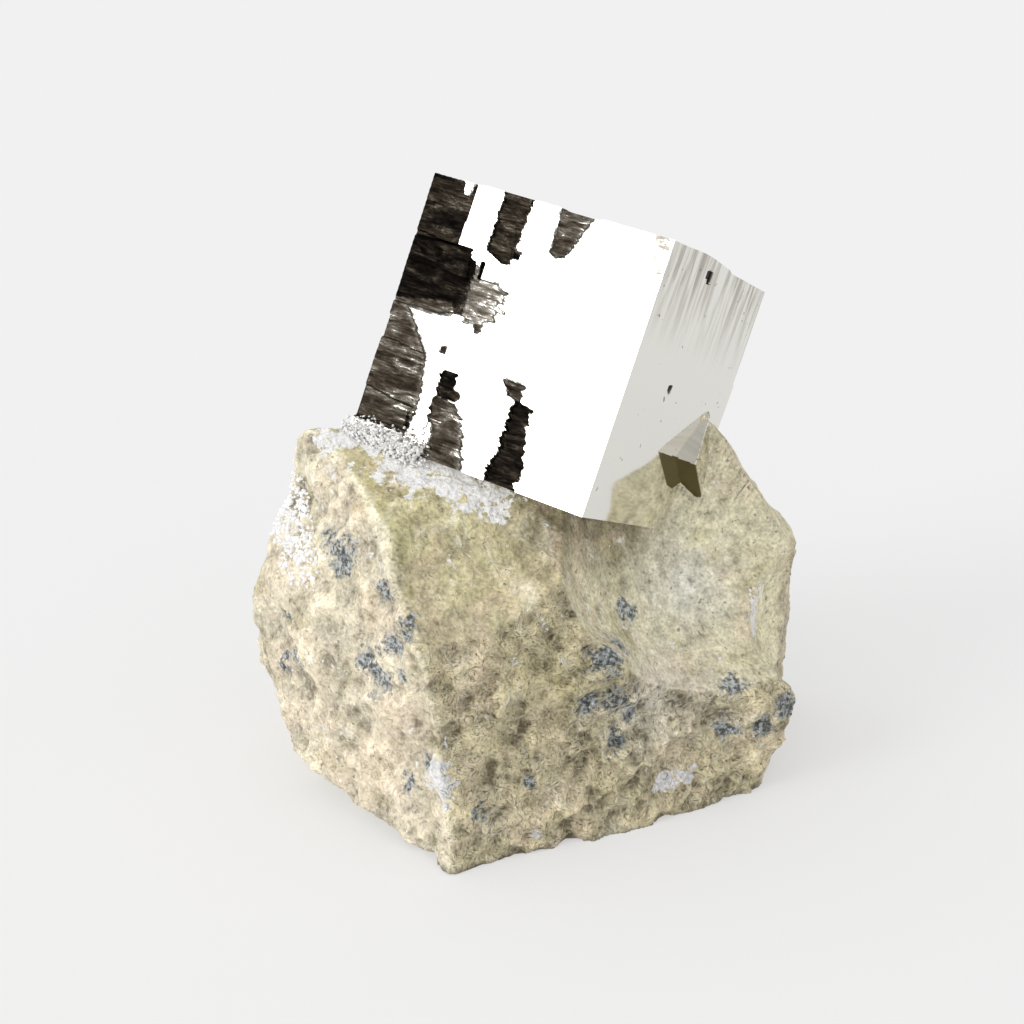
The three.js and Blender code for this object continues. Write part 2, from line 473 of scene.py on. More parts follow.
@dataclass(frozen=True)
class CubeSeat:
    """Where the cube stands: its edge, centre, and turns about z, then y, then x."""

    edge: float = 30.0
    centre: Vec = (5.9, 11.2, 48.1)
    turn: float = -31.5
    lean: float = 8.8
    tip: float = -21.8

    def axes(self) -> Array:
        """The way that the cube is turned.

        Returns:
            The cube's axes as columns: Rz(turn) Ry(lean) Rx(tip).
        """
        (cz, sz), (cy, sy), (cx, sx) = (
            (math.cos(math.radians(a)), math.sin(math.radians(a))) for a in (self.turn, self.lean, self.tip)
        )
        about_z = np.array([[cz, -sz, 0], [sz, cz, 0], [0, 0, 1]])
        about_y = np.array([[cy, 0, sy], [0, 1, 0], [-sy, 0, cy]])
        about_x = np.array([[1, 0, 0], [0, cx, -sx], [0, sx, cx]])
        return about_z @ about_y @ about_x

    def to_design(self, local: Array | Vec) -> Array:
        """Places in the cube's own axes, in the specimen's."""
        return np.asarray(local, float) @ self.axes().T + np.array(self.centre)

    def to_local(self, design: Array) -> Array:
        """Places in the specimen's axes, in the cube's own."""
        return (design - np.array(self.centre)) @ self.axes()

    def clearance(self, design: Array) -> Array:
        """How far places lie outside the cube.

        Args:
            design: places in the specimen's axes.

        Returns:
            |max(|p| - edge/2, 0)|, with p in the cube's axes, or the negative depth inside.
        """
        beyond = np.abs(self.to_local(design)) - self.edge / 2
        outside = np.linalg.norm(np.maximum(beyond, 0.0), axis=-1)
        return outside + np.minimum(beyond.max(-1), 0.0)


@dataclass(frozen=True)
class Placement:
    """The shift from the specimen's design axes to the frame."""

    shift: Array

    @classmethod
    def from_frame(cls, seat: CubeSeat, companion_corners: Array) -> "Placement":
        """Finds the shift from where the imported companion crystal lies.

        Args:
            seat: where the cube stands, which carries the companion.
            companion_corners: the companion's corners in the cube's axes.

        Returns:
            shift = lowest packed corner - lowest design corner.
        """
        packed = np.array(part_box("companion_crystal")[0]) / MM
        return cls(packed - seat.to_design(companion_corners).min(0))

    def metres(self, design: Array | Vec) -> Array:
        """Design places in the frame, in metres."""
        return (np.asarray(design, float) + self.shift) * MM


# ---- finishes ------------------------------------------------------------------------------


@dataclass(frozen=True)
class PyriteFinish:
    """Mirror-bright pyrite. Dark striated growth shows where the mesh's dark value is high: rougher and
    striated, and its near-black colour is a painted dark reflection.
    """

    bright: Colour = (0.80, 0.785, 0.73)
    polish: float = 0.05
    striated_roughness: float = 0.34
    tarnish_and_reflection: Colour = (0.115, 0.095, 0.028)
    smoke_and_reflection: Colour = (0.40, 0.375, 0.31)
    pit: Colour = (0.05, 0.045, 0.04)
    # The striated growth's colour, by its depth: a painted dark reflection, far darker than the rough
    # striated mineral itself. It starts from the bright colour.
    depths: tuple[tuple[float, Colour], ...] = (
        (0.28, (0.22, 0.206, 0.182)),
        (0.44, (0.095, 0.083, 0.067)),
        (0.58, (0.047, 0.038, 0.028)),
        (0.70, (0.022, 0.017, 0.0122)),
        (0.80, (0.0105, 0.0083, 0.0064)),
        (0.90, (0.0046, 0.0038, 0.0031)),
        (1.0, (0.0020, 0.0017, 0.0014)),
    )

    def material(self, name: str) -> bpy.types.Material:
        """Builds the material.

        Args:
            name: the material's name.

        Returns:
            Its streaks run along the first coordinate of the mesh's grain vector, in millimetres.
        """
        f = Finish(name)
        grain = f.read("grain", vector=True)
        dark, tone, cloud = f.read("dark"), f.read("tone"), f.read("cloud")
        tarnish_and_reflection = f.read("tarnish_and_reflection")
        fine = f.noise(f.stretch(grain, (0.42, 3.2, 1.0)), 1.0, 6.0, 0.68, 0.6)
        broad = f.noise(f.stretch(grain, (0.24, 0.66, 1.0), (7, 3, 0)), 1.0, 5.0, 0.62, 1.0)
        # Wisps are thin pale lines where a warped noise passes one half.
        curl = f.noise(f.stretch(grain, (0.30, 0.95, 1.0), (3, 11, 0)), 1.0, 6.0, 0.72, 1.4)
        wisp = f.step(f.sum("ABSOLUTE", f.sum("SUBTRACT", curl, 0.5)), 0.0, 0.04, 1.0, 0.0)
        # Depth: dark (1 - tone) + (fine - 1/2) x 0.5 window + (broad - 1/2) 1.15 dark - wisps.
        window = f.step(dark, 0.02, 0.45)
        depth = f.sum("MULTIPLY_ADD", f.sum("MULTIPLY", f.sum("SUBTRACT", fine, 0.5), window), 0.5, dark)
        depth = f.sum("MULTIPLY_ADD", f.sum("MULTIPLY", f.sum("SUBTRACT", broad, 0.5), dark), 1.15, depth)
        depth = f.sum("SUBTRACT", depth, f.sum("MULTIPLY", tone, dark))
        patchy = f.step(broad, 0.34, 0.56, 0.24, 0.08)
        depth = f.sum("SUBTRACT", depth, f.sum("MULTIPLY", f.sum("MULTIPLY", wisp, window), patchy))
        # Smoky streaks dull the mirror. On the right face they thicken towards the top as a painted dimmer
        # reflection.
        drawn_out = f.stretch(grain, (0.10, 0.9, 1.0), (31, 5, 0))
        smoke_and_reflection = f.step(f.noise(drawn_out, 1.0, 5.0, 0.6, 0.5), 0.38, 0.66)
        smoky_and_reflected = f.blend(f.sum("MULTIPLY", smoke_and_reflection, cloud), self.bright, self.smoke_and_reflection)
        pits = f.step(f.noise(grain, 0.9, 2.0), 0.69, 0.73)
        pitted = f.blend(f.sum("MULTIPLY", pits, 0.7), smoky_and_reflected, self.pit)
        # Painted dark reflection: the striated growth's colour is darkened far past the mineral's own, on top
        # of its real striations.
        striated_dark_reflection = f.ramp(depth, ((0.12, self.bright), *self.depths))
        colour = f.blend(f.step(depth, 0.10, 0.16), pitted, striated_dark_reflection)
        # Chosen facets turn dark olive: tarnish, and a painted dark reflection.
        colour = f.blend(tarnish_and_reflection, colour, self.tarnish_and_reflection)
        roughness = f.step(depth, 0.1, 0.4, self.polish, self.striated_roughness)
        roughness = f.sum("MAXIMUM", roughness, f.sum("MULTIPLY", tarnish_and_reflection, 0.3))
        ripple = f.sum("MULTIPLY_ADD", f.step(depth, 0.1, 0.6), 0.85, 0.012)
        normal = f.bump(f.sum("ADD", fine, f.sum("MULTIPLY", broad, 0.6)), 0.00007, ripple)
        f.set(Base_Color=colour, Metallic=1.0, Roughness=roughness, Normal=normal)
        return f.material


@dataclass(frozen=True)
class MarlFinish:
    """Dull broken marl: the mesh's tint, mottled and granular, with dark grains and white calcite, painted
    shade in its hollows and painted highlights on its ridges.
    """

    grain_dark: Colour = (0.028, 0.04, 0.05)
    grain_pale: Colour = (0.50, 0.53, 0.54)
    calcite: Colour = (0.86, 0.85, 0.84)
    warm: Colour = (0.60, 0.47, 0.36)
    olive: Colour = (0.40, 0.355, 0.175)
    pale: Colour = (0.72, 0.68, 0.57)
    # Dark earth, also painted shade in the hollows.
    earth_and_shade: Colour = (0.15, 0.12, 0.065)
    # The pale threads' colour, also used for the painted highlights along crests.
    thread: Colour = (0.76, 0.69, 0.48)
    speck: Colour = (0.16, 0.15, 0.12)
    grain_middle: Colour = (0.13, 0.16, 0.175)
    sugar_dull: Colour = (0.66, 0.645, 0.62)
    sugar_bright: Colour = (0.93, 0.93, 0.92)

    def material(self, name: str) -> bpy.types.Material:
        """Builds the material.

        Args:
            name: the material's name.

        Returns:
            It reads tint, coarse, relief, seam, grains and calcite from the mesh, and the place in metres.
        """
        f = Finish(name)
        place = f.objects()
        tint, coarse = f.read("tint", vector=True), f.read("coarse")
        relief, seam = f.read("relief"), f.read("seam")
        warm_places = f.stretch(place, (1, 1, 1), (0.5, 0.2, 0.7))
        warm = f.step(f.noise(warm_places, 150.0, 5.0, 0.62, 0.5), 0.46, 0.64)
        olive = f.step(f.noise(place, 210.0, 5.0, 0.62, 0.6), 0.5, 0.68)
        pale = f.step(f.noise(place, 330.0, 5.0, 0.64, 0.8), 0.5, 0.68)
        mottle = f.noise(place, 640.0, 6.0, 0.66)
        grit = f.noise(place, 2600.0, 2.0, 0.6)
        colour = tint
        stains = ((warm, self.warm, 0.42), (olive, self.olive, 0.42), (pale, self.pale, 0.36))
        for cloud, wash, strength in stains:
            colour = f.blend(f.sum("MULTIPLY", cloud, strength), colour, wash)
        shade = f.sum("MULTIPLY_ADD", mottle, 1.9, 0.14)
        shade = f.sum("MULTIPLY", shade, f.sum("MULTIPLY_ADD", grit, 1.3, 0.35))
        # The relief factor paints shade into the chips' hollows and light onto their ridges.
        shade = f.sum("MULTIPLY", shade, f.sum("MULTIPLY_ADD", relief, 0.75, 1.0))
        gray = f.add("CombineColor", {"Red": shade, "Green": shade, "Blue": shade}).outputs["Color"]
        colour = f.blend(1.0, colour, gray, "MULTIPLY")
        # Hollows get dark earth with painted shade; broken ridges get a painted pale highlight; thin threads
        # are pale.
        ragged = f.sum("MULTIPLY_ADD", f.sum("SUBTRACT", mottle, 0.5), 3.0, relief)
        earth_and_shade = f.sum("MULTIPLY", f.step(ragged, -0.2, -0.7), f.sum("MULTIPLY_ADD", coarse, 0.6, 0.1))
        colour = f.blend(earth_and_shade, colour, self.earth_and_shade)
        broken = f.crumple(place, 500.0, 0.0005)
        coarse_edge = f.borders(broken, 420.0)
        fine_edge = f.borders(place, 1100.0)
        thread = f.step(coarse_edge, 0.0, 0.03, 0.8, 0.0)
        thread = f.sum("MAXIMUM", thread, f.step(fine_edge, 0.0, 0.06, 0.2, 0.0))
        thread = f.sum("MULTIPLY", thread, f.step(f.noise(place, 300.0, 3.0), 0.42, 0.6, 0.25, 1.0))
        crest_highlight = f.sum("MULTIPLY", seam, f.step(grit, 0.3, 0.6, 0.25, 0.85))
        colour = f.blend(f.sum("MULTIPLY", f.sum("MAXIMUM", thread, crest_highlight), coarse), colour, self.thread)
        specks = f.step(f.noise(place, 1500.0, 2.0, 0.5), 0.66, 0.72, 0.0, 0.65)
        colour = f.blend(specks, colour, self.speck)
        fleck_places = f.stretch(place, (1, 1, 1), (0.3, 0.1, 0.2))
        flecks = f.step(f.noise(fleck_places, 640.0, 4.0, 0.6), 0.67, 0.74, 0.0, 0.6)
        colour = f.blend(flecks, colour, self.calcite)
        wobble = f.sum("SUBTRACT", f.noise(place, 1150.0, 4.0, 0.7), 0.5)
        swerve = f.sum("SUBTRACT", f.noise(place, 420.0, 3.0, 0.6), 0.5)
        inside = f.sum("MULTIPLY_ADD", wobble, 3.6, f.sum("MULTIPLY_ADD", swerve, 1.6, f.read("grains")))
        salt = f.noise(place, 1900.0, 2.0, 0.6)
        pepper = f.ramp(salt, ((0.37, self.grain_dark), (0.47, self.grain_middle), (0.59, self.grain_pale)))
        colour = f.blend(f.step(inside, -0.3, 0.5, 0.0, 0.9), colour, pepper)
        jag = f.sum("MULTIPLY_ADD", wobble, 3.4, f.sum("MULTIPLY_ADD", swerve, 4.6, f.read("calcite")))
        sugar = f.ramp(grit, ((0.3, self.sugar_dull), (0.55, self.calcite), (0.7, self.sugar_bright)))
        colour = f.blend(f.step(jag, 0.0, 0.14), colour, sugar)
        rough = f.sum("MULTIPLY_ADD", coarse, 0.8, 0.2)
        facets = f.sum("MULTIPLY_ADD", fine_edge, -0.2, f.sum("MULTIPLY", coarse_edge, -1.0))
        normal = f.bump(facets, 0.0017, rough)
        grain = f.sum("ADD", f.sum("MULTIPLY", mottle, 0.7), f.sum("MULTIPLY", grit, 0.3))
        normal = f.bump(grain, 0.0014, rough, normal)
        f.set(Base_Color=colour, Roughness=0.88, Normal=normal, Specular_IOR_Level=0.25)
        return f.material


@dataclass(frozen=True)
class CalciteFinish:
    """White sugary calcite, a little translucent."""

    white: Colour = (0.93, 0.925, 0.915)
    hollow: Colour = (0.80, 0.785, 0.75)
    frosted: Colour = (0.97, 0.97, 0.96)
    stain: Colour = (0.66, 0.58, 0.42)

    def material(self, name: str) -> bpy.types.Material:
        """Builds the material.

        Args:
            name: the material's name.

        Returns:
            It reads the place in metres.
        """
        f = Finish(name)
        place = f.objects()
        cloud = f.noise(place, 420.0, 4.0, 0.6)
        frost = f.noise(place, 2400.0, 3.0, 0.6)
        colour = f.ramp(cloud, ((0.3, self.hollow), (0.5, self.white), (0.75, self.frosted)))
        stained = f.blend(f.step(f.noise(place, 260.0, 3.0), 0.58, 0.72, 0.0, 0.5), colour, self.stain)
        f.set(
            Base_Color=stained,
            Roughness=0.38,
            Normal=f.bump(frost, 0.0002, 0.5),
            Subsurface_Weight=0.15,
            Subsurface_Radius=(0.001, 0.001, 0.001),
            Subsurface_Scale=0.5,
        )
        return f.material


# ---- the cube ------------------------------------------------------------------------------


@dataclass(frozen=True)
class Growth:
    """A stepped patch of a cube face.

    The outline is in the face's own millimetres. Its edge is crisp, and fades over soft millimetres
    on the side that fades faces. Tone lightens its streaks, and strength is how dark it gets.
    """

    outline: tuple[tuple[float, float], ...]
    depth: float = 0.2
    crisp: float = 0.25
    soft: float = 0.25
    fades: tuple[float, float] = (1.0, 0.0)
    tone: float = 0.0
    strength: float = 1.0
    ragged: float = 0.25

    def inside(self, u: Array, v: Array) -> Array:
        """How far places lie inside the outline.

        Args:
            u: places across the face.
            v: places up the face.

        Returns:
            The distance to the nearest edge, negative outside by the even-odd rule.
        """
        distance = np.full(u.shape, np.inf)
        odd = np.zeros(u.shape, bool)
        corners = np.array(self.outline)
        for (au, av), (bu, bv) in zip(corners, np.roll(corners, -1, axis=0)):
            eu, ev = bu - au, bv - av
            share = np.clip(((u - au) * eu + (v - av) * ev) / (eu * eu + ev * ev), 0.0, 1.0)
            distance = np.minimum(distance, np.hypot(u - au - share * eu, v - av - share * ev))
            if av != bv:
                odd ^= ((av > v) != (bv > v)) & (u < au + (v - av) / (bv - av) * eu)
        return np.where(odd, distance, -distance)

    def cover(self, u: Array, v: Array) -> Array:
        """How much of the patch is at each place.

        Args:
            u: places across the face.
            v: places up the face.

        Returns:
            0 to 1: 1/2 + inside / fade width, made smooth.
        """
        corners = np.array(self.outline)
        middle = corners.mean(0)
        reach = np.ptp(corners, axis=0).max() / 2
        way = (u - middle[0]) * self.fades[0] + (v - middle[1]) * self.fades[1]
        width = self.crisp + (self.soft - self.crisp) * smoothstep(0.0, 0.6, way / reach)
        return smoothstep(0.0, 1.0, 0.5 + self.inside(u, v) / width)


FRONT_GROWTHS = (
    Growth(((-16, 16), (-16, 7.8), (-9.3, 8.0), (-9.1, 16)), 0.3, 0.12, 0.3, tone=0.2, ragged=0.05),
    Growth(((-16, 12), (-14.2, 12), (-12.8, 9.4), (-9.6, 9.2), (-9.4, 8), (-16, 7.8)),
           0.1, 1.6, 1.6, tone=0.02),
    Growth(((-5.6, 16), (-5.6, 8.5), (-3.4, 7.6), (-2.4, 7.8), (-2.2, 16)), 0.26, 0.12, 1.3, tone=0.26),
    Growth(((-5.6, 12), (-5.6, 8.5), (-3.4, 7.6), (-2.6, 8.4), (-3.2, 12)), 0.1, 0.3, 1.2, tone=0.0),
    Growth(((-2.6, 9.4), (-2.4, 8.4), (-1.6, 8.5), (-1.4, 9.3)), 0.15, 0.15, 0.3, tone=0.1, ragged=0.15),
    Growth(((-2.3, 16), (-2.2, 13.6), (-1.9, 14.2), (-1.8, 16)), 0.15, 0.1, 0.2, tone=0.2),
    Growth(((1.2, 16), (1.8, 10.2), (2.4, 9.8), (3.6, 10.2), (5.9, 16)), 0.18, 0.3, 2.2, tone=0.4),
    Growth(((-16, 8.4), (-7.3, 8.0), (-7.3, 7.1), (-6.5, 6.8), (-6.3, 1.2), (-9, 0.4), (-16, 0.2)),
           0.34, 0.2, 2.6, (0.45, -0.9), tone=0.09),
    Growth(((-16, 3.2), (-9, 3.4), (-6.6, 3), (-7.4, 0.6), (-10, 0.2), (-16, 0)),
           0.1, 1.6, 2.6, (0.3, -0.9), tone=0.4),
    Growth(((-5.8, 7.1), (-5.8, 5.2), (-5.3, 5.2), (-5.3, 7.1)), 0.3, 0.12, 0.12, tone=0.0, ragged=0.0),
    Growth(((-7.4, 6.9), (-7.2, 5.0), (-5.6, 5.0), (-5.9, 6.4)), 0.2, 1.2, 1.6, tone=0.4, strength=0.75),
    Growth(((-6.6, 5.2), (-3.4, 5.3), (-1.6, 4.6), (-1.8, 2.4), (-3.4, 0.6), (-5.4, 0.2), (-6.8, 1.4)),
           0.2, 1.6, 2.6, tone=0.42, strength=0.72, ragged=1.1),
    Growth(((-4.2, 0.6), (-4.0, -0.5), (-3.3, -0.4), (-3.2, 0.5)), 0.12, 0.3, 0.6, tone=0.3, ragged=0.3),
    Growth(((-7.3, -2.9), (-7.2, -3.6), (-6.5, -3.5), (-6.6, -2.8)), 0.12, 0.3, 0.5, tone=0.25, ragged=0.2),
    Growth(((-16, 0.6), (-13.2, 0.4), (-10.6, -2.4), (-9.0, -4.2), (-8.6, -5.6), (-16, -5.6)),
           0.3, 0.5, 4.0, (0.8, 0.6), tone=0.42),
    Growth(((-16, -3.8), (-9.2, -4.2), (-8.2, -7.6), (-7.9, -10.5), (-8.3, -13.2), (-16, -13.4)),
           0.45, 0.4, 2.6, tone=0.4),
    Growth(((-16, -9.6), (-8.4, -10.2), (-8.3, -12.2), (-8.5, -13.0), (-16, -13.0)),
           0.55, 0.9, 1.2, tone=0.04),
    Growth(((-6.0, -5.3), (-4.3, -5.3), (-4.2, -6.8), (-3.3, -7.0), (-3.5, -8.0), (-6.1, -8.1)),
           0.3, 0.2, 0.9, tone=0.2, ragged=0.35),
    Growth(((-6.2, -8.1), (-3.4, -8.4), (-1.9, -10.5), (-0.4, -14.6), (-0.3, -16), (-5.6, -16), (-6.0, -12)),
           0.24, 0.35, 3.0, tone=0.42, ragged=0.35),
    Growth(((-6.0, -13.6), (-2, -13.9), (-0.4, -16), (-5.8, -16)), 0.1, 1.4, 1.8, tone=0.16),
    Growth(((1.6, -3.9), (3.8, -4.0), (3.9, -6.2), (2.2, -5.7)), 0.2, 0.5, 0.9, tone=0.35, ragged=0.6),
    Growth(((3.3, -6.0), (5.7, -6.2), (5.5, -8.0), (5.9, -9.6), (6.2, -11.4), (6.8, -13.4), (6.4, -14.2),
            (6.5, -16), (3.0, -16), (2.6, -13.8), (3.4, -11.6), (3.1, -8.6)),
           0.4, 0.3, 0.5, tone=0.17, ragged=0.4),
    Growth(((12.2, 16), (12.9, 8.2), (15.5, 7.6), (15.6, 16)),
           0.0, 2.6, 0.6, (-1.0, 0.0), tone=0.1, strength=0.3),
)
FRONT_BARE = (
    Growth(((-12.2, 16), (-11.7, 14.9), (-10.9, 14.6), (-10.5, 13.6), (-9.9, 13.5), (-9.5, 14.2), (-9.3, 16)),
           crisp=0.2, soft=0.2, ragged=0.3),
    Growth(((-6.9, -11.4), (-5.6, -11.0), (-5.0, -12.4), (-5.6, -14.6), (-7.0, -14.8)), crisp=0.2, soft=0.3),
)
LEFT_GROWTHS = (
    Growth(((4, 16), (4.4, -3), (16, -3.6), (16, 16)), 0.12, 0.2, 0.8, tone=0.25, strength=0.5),
    Growth(((-16, -2), (-6, -1.4), (-5.2, -16), (-16, -16)), 0.12, 0.2, 0.8, tone=0.2, strength=0.55),
    Growth(((-3, 16), (-2.6, 5), (1.4, 5.4), (1.2, 16)), 0.2, 0.2, 0.4, tone=0.15, strength=0.62),
)
TOP_GROWTHS = (
    Growth(((-4, 3.2), (16, 2.6), (16, 16), (-4.6, 16)), 0.2, 0.15, 0.15, tone=0.24, strength=0.3),
    Growth(((-16, -16), (-8.4, -16), (-9, 1.2), (-16, 2)), 0.1, 0.2, 0.7, tone=0.2, strength=0.55),
    Growth(((1.5, -16), (6.5, -16), (5.6, -9), (2.4, -8.2)), 0.16, 0.3, 0.9, tone=0.2, strength=0.6),
    Growth(((-5, 6), (-1.4, 5.6), (-0.8, 12), (-3, 13)), 0.2, 0.2, 0.7, tone=0.16, strength=0.55),
)
BACK_GROWTHS = (
    Growth(((5, 16), (5.6, 4), (16, 3.4), (16, 16)), 0.3, 0.2, 0.8, (-1, 0), tone=0.2, strength=0.55),
    Growth(((-16, 3), (-10, 2.4), (-8.6, -6), (-16, -7)), 0.3, 0.2, 1.4, tone=0.16, strength=0.6),
    Growth(((-3, 10), (1.6, 9.4), (2.2, 1), (-2.2, 0.4)), 0.22, 0.2, 0.9, tone=0.12, strength=0.62),
    Growth(((3, -4), (12, -5), (11, -11), (4.2, -10)), 0.2, 0.3, 1.2, tone=0.2, strength=0.5),
)
RIGHT_GROWTHS = (
    Growth(((-3.7, 1.0), (-3.3, 0.9), (-3.6, -1.2), (-3.9, -1.1)), 0.15, 0.2, 0.2, tone=-0.1, ragged=0.0),
    Growth(((-3.6, 14.1), (-2.5, 14.0), (-2.5, 12.6), (-3.3, 12.7)), 0.2, 0.3, 0.3, tone=0.02, ragged=0.2),
)


GROWTHS = {
    Side.FRONT: FRONT_GROWTHS,
    Side.LEFT: LEFT_GROWTHS,
    Side.TOP: TOP_GROWTHS,
    Side.BACK: BACK_GROWTHS,
    Side.RIGHT: RIGHT_GROWTHS,
}


@dataclass
class PyriteCube:
    """The large cube: six grids that share their edges, each with its growth steps and striations."""

    seat: CubeSeat
    place: Placement
    cells: tuple[int, int, int] = (180, 44, 180)
    fine_share: float = 0.76  # of the cells along x that lie left of fine_limit
    fine_limit: float = 7.0
    striation_depth: float = 0.07

    def lines(self, axis: int) -> Array:
        """The grid lines along an axis.

        Args:
            axis: 0, 1 or 2 for x, y or z.

        Returns:
            Places from -edge/2 to edge/2, evenly spaced, but along x with fine_share of the cells
            below fine_limit and the rest above it.
        """
        share = np.linspace(0.0, 1.0, self.cells[axis] + 1)
        half = self.seat.edge / 2
        if axis != 0:
            return (share * 2 - 1) * half
        return np.interp(share, (0.0, self.fine_share, 1.0), (-half, self.fine_limit, half))

    def face_axes(self, side: Side) -> tuple[int, int]:
        """The axes that a face's outlines use: across it, then up it."""
        return int(side in (Side.LEFT, Side.RIGHT)), 1 if side in (Side.BOTTOM, Side.TOP) else 2

    def streak_axes(self, side: Side) -> tuple[int, int]:
        """The axis that a face's striations run along, and the axis across them."""
        across, up = self.face_axes(side)
        return (across, up) if side in (Side.FRONT, Side.BACK) else (up, across)

    def growth(self, side: Side, local: Array) -> tuple[Array, Array, Array]:
        """The height, darkness and tone of a face.

        Args:
            side: the face.
            local: places on it, in the cube's axes.

        Returns:
            height = -sum of depth x cover over the patches, less striations where it is dark;
            darkness = the greatest strength x cover, and less of both on bare patches; and tone.
        """
        first, second = self.face_axes(side)
        u, v = local[:, first], local[:, second]
        layered = np.stack([u * 0.25, v * 2.0, np.full_like(u, side.value * 9.0)], -1)
        shove = fractal(layered, 1.0, 3, 40 + side.value, 0.6)
        lift = fractal(layered[:, [1, 0, 2]] * 0.6, 1.0, 2, 60 + side.value)
        height, dark, tone = np.zeros(len(u)), np.zeros(len(u)), np.zeros(len(u))
        for patch in GROWTHS.get(side, ()):
            cover = patch.cover(u + shove * patch.ragged * 1.6, v + lift * patch.ragged)
            height -= patch.depth * smoothstep(0.4, 0.6, cover) * (1.0 - 0.5 * smoothstep(0.3, 0.6, dark))
            leads = (patch.strength * cover > dark - 0.25 * (patch.tone < 0)) & (cover > 0.02)
            tone = np.where(leads, tone + (patch.tone - tone) * smoothstep(0, 0.5, cover), tone)
            dark = np.maximum(dark, patch.strength * cover)
        if side is Side.FRONT:
            for patch in FRONT_BARE:
                bare = patch.cover(u + shove * patch.ragged, v + lift * patch.ragged)
                dark *= 1.0 - bare
                height *= 1.0 - 0.7 * bare
        along, across = self.streak_axes(side)
        wave = local[:, across] + 0.35 * gradient_noise(local * 0.22, 1.0, 77 + side.value)
        saw = np.abs((wave * 1.35) % 1.0 - 0.5) * 2.0 + 0.6 * np.abs((wave * 0.51) % 1.0 - 0.5)
        return height - self.striation_depth * saw * smoothstep(0.3, 0.8, dark), dark, tone

    def build(self, material: bpy.types.Material) -> bpy.types.Object:
        """Builds the cube's mesh.

        Args:
            material: the pyrite finish.

        Returns:
            The piece. A point is its place on the plain cube plus, for each face it lies on,
            the face's outward direction times the face's height there.
        """
        lattice = box_lattice(self.cells)
        lines = [self.lines(axis) for axis in range(3)]
        local = np.stack([lines[axis][lattice.points[:, axis]] for axis in range(3)], -1)
        moved = local.copy()
        corners = len(lattice.quads) * 4
        grain = np.zeros((corners, 3))
        dark, tone, cloud = (np.zeros(corners) for _ in range(3))
        for side in Side:
            axis, up = divmod(side.value, 2)
            quads = lattice.sides == side.value
            ids = lattice.quads[quads]
            members = np.unique(ids)
            height, darkness, tones = self.growth(side, local[members])
            moved[members, axis] += height * (1 if up else -1)
            where = np.repeat(quads, 4)
            at = np.searchsorted(members, ids.ravel())
            dark[where], tone[where] = darkness[at], tones[at]
            along, across = self.streak_axes(side)
            place = local[ids.ravel()]
            offset = np.full(len(place), side.value * 40.0)
            grain[where] = np.stack([place[:, along], place[:, across], offset], -1)
            # The cloud value thickens the smoky streaks up the right face: a painted dimmer reflection there.
            high = smoothstep(3.0, 14.0, place[:, 2]) if side is Side.RIGHT else 0.35
            cloud[where] = 0.0 if side is Side.FRONT else high
        moved += self.bow(local)
        points = self.place.metres(self.seat.to_design(moved))
        data = {"grain": grain, "dark": dark, "tone": tone, "cloud": cloud, "tarnish_and_reflection": np.zeros(corners)}
        piece = build_mesh("pyrite_cube_grown", points, lattice.quads, material, False, corner_data=data)
        declare(piece, "pyrite", "pyrite_cube")
        return piece

    def bow(self, local: Array) -> Array:
        """Small departures from a true cube: a crowned top right edge and a stepped left side.

        Args:
            local: places on the plain cube, in its own axes.

        Returns:
            How far each one moves: up by the crown, 0.4 exp(-((y + 5) / 6)^2) along the top's right
            side; sideways by the left side's step; and along y by a slant of the back.
        """
        half = self.seat.edge / 2
        x, y, z = local.T
        crown = 0.4 * np.exp(-(((y + 5.0) / 6.0) ** 2)) * smoothstep(9.0, half, x) * (z > half - 1e-6)
        nip = -0.3 * smoothstep(-3.9, -3.5, z) * smoothstep(-1.2, -1.6, z) + 0.35 * smoothstep(-3.8, -4.1, z)
        nip *= (x < -half + 1e-6) * smoothstep(-8.0, -12.0, y)
        slant = -0.9 * smoothstep(6.0, -14.0, z) * (y > half - 1e-6) * smoothstep(0.0, half, x)
        return np.stack([-nip, slant, crown], -1)


# ---- the companion crystal -----------------------------------------------------------------


COMPANION_WAIST: Vec = (15.3, 8.0, -6.0)  # the middle of its foot, in the cube's axes
COMPANION_SIZE: Vec = (2.0, 3.5, 5.5)  # how far it reaches out, back and up
COMPANION_SHARES: dict[str, Vec] = {
    "foot_front": (0.0, -1.0, 0.0),
    "foot_low": (0.0, 1.0, -0.9),
    "foot_top": (0.0, 0.5, 1.0),
    "outer_front": (1.0, -0.75, 0.0),
    "outer_low": (1.0, 0.75, -0.75),
    "outer_back": (0.8, 0.6, 0.0),
    "upper": (0.4, 0.0, 0.6),
}


def companion_corners() -> dict[str, Array]:
    """The companion crystal's corners.

    Returns:
        Each one by its name, in the cube's axes: waist + share x size.
    """
    return {
        name: np.array(COMPANION_WAIST) + np.array(share) * np.array(COMPANION_SIZE)
        for name, share in COMPANION_SHARES.items()
    }


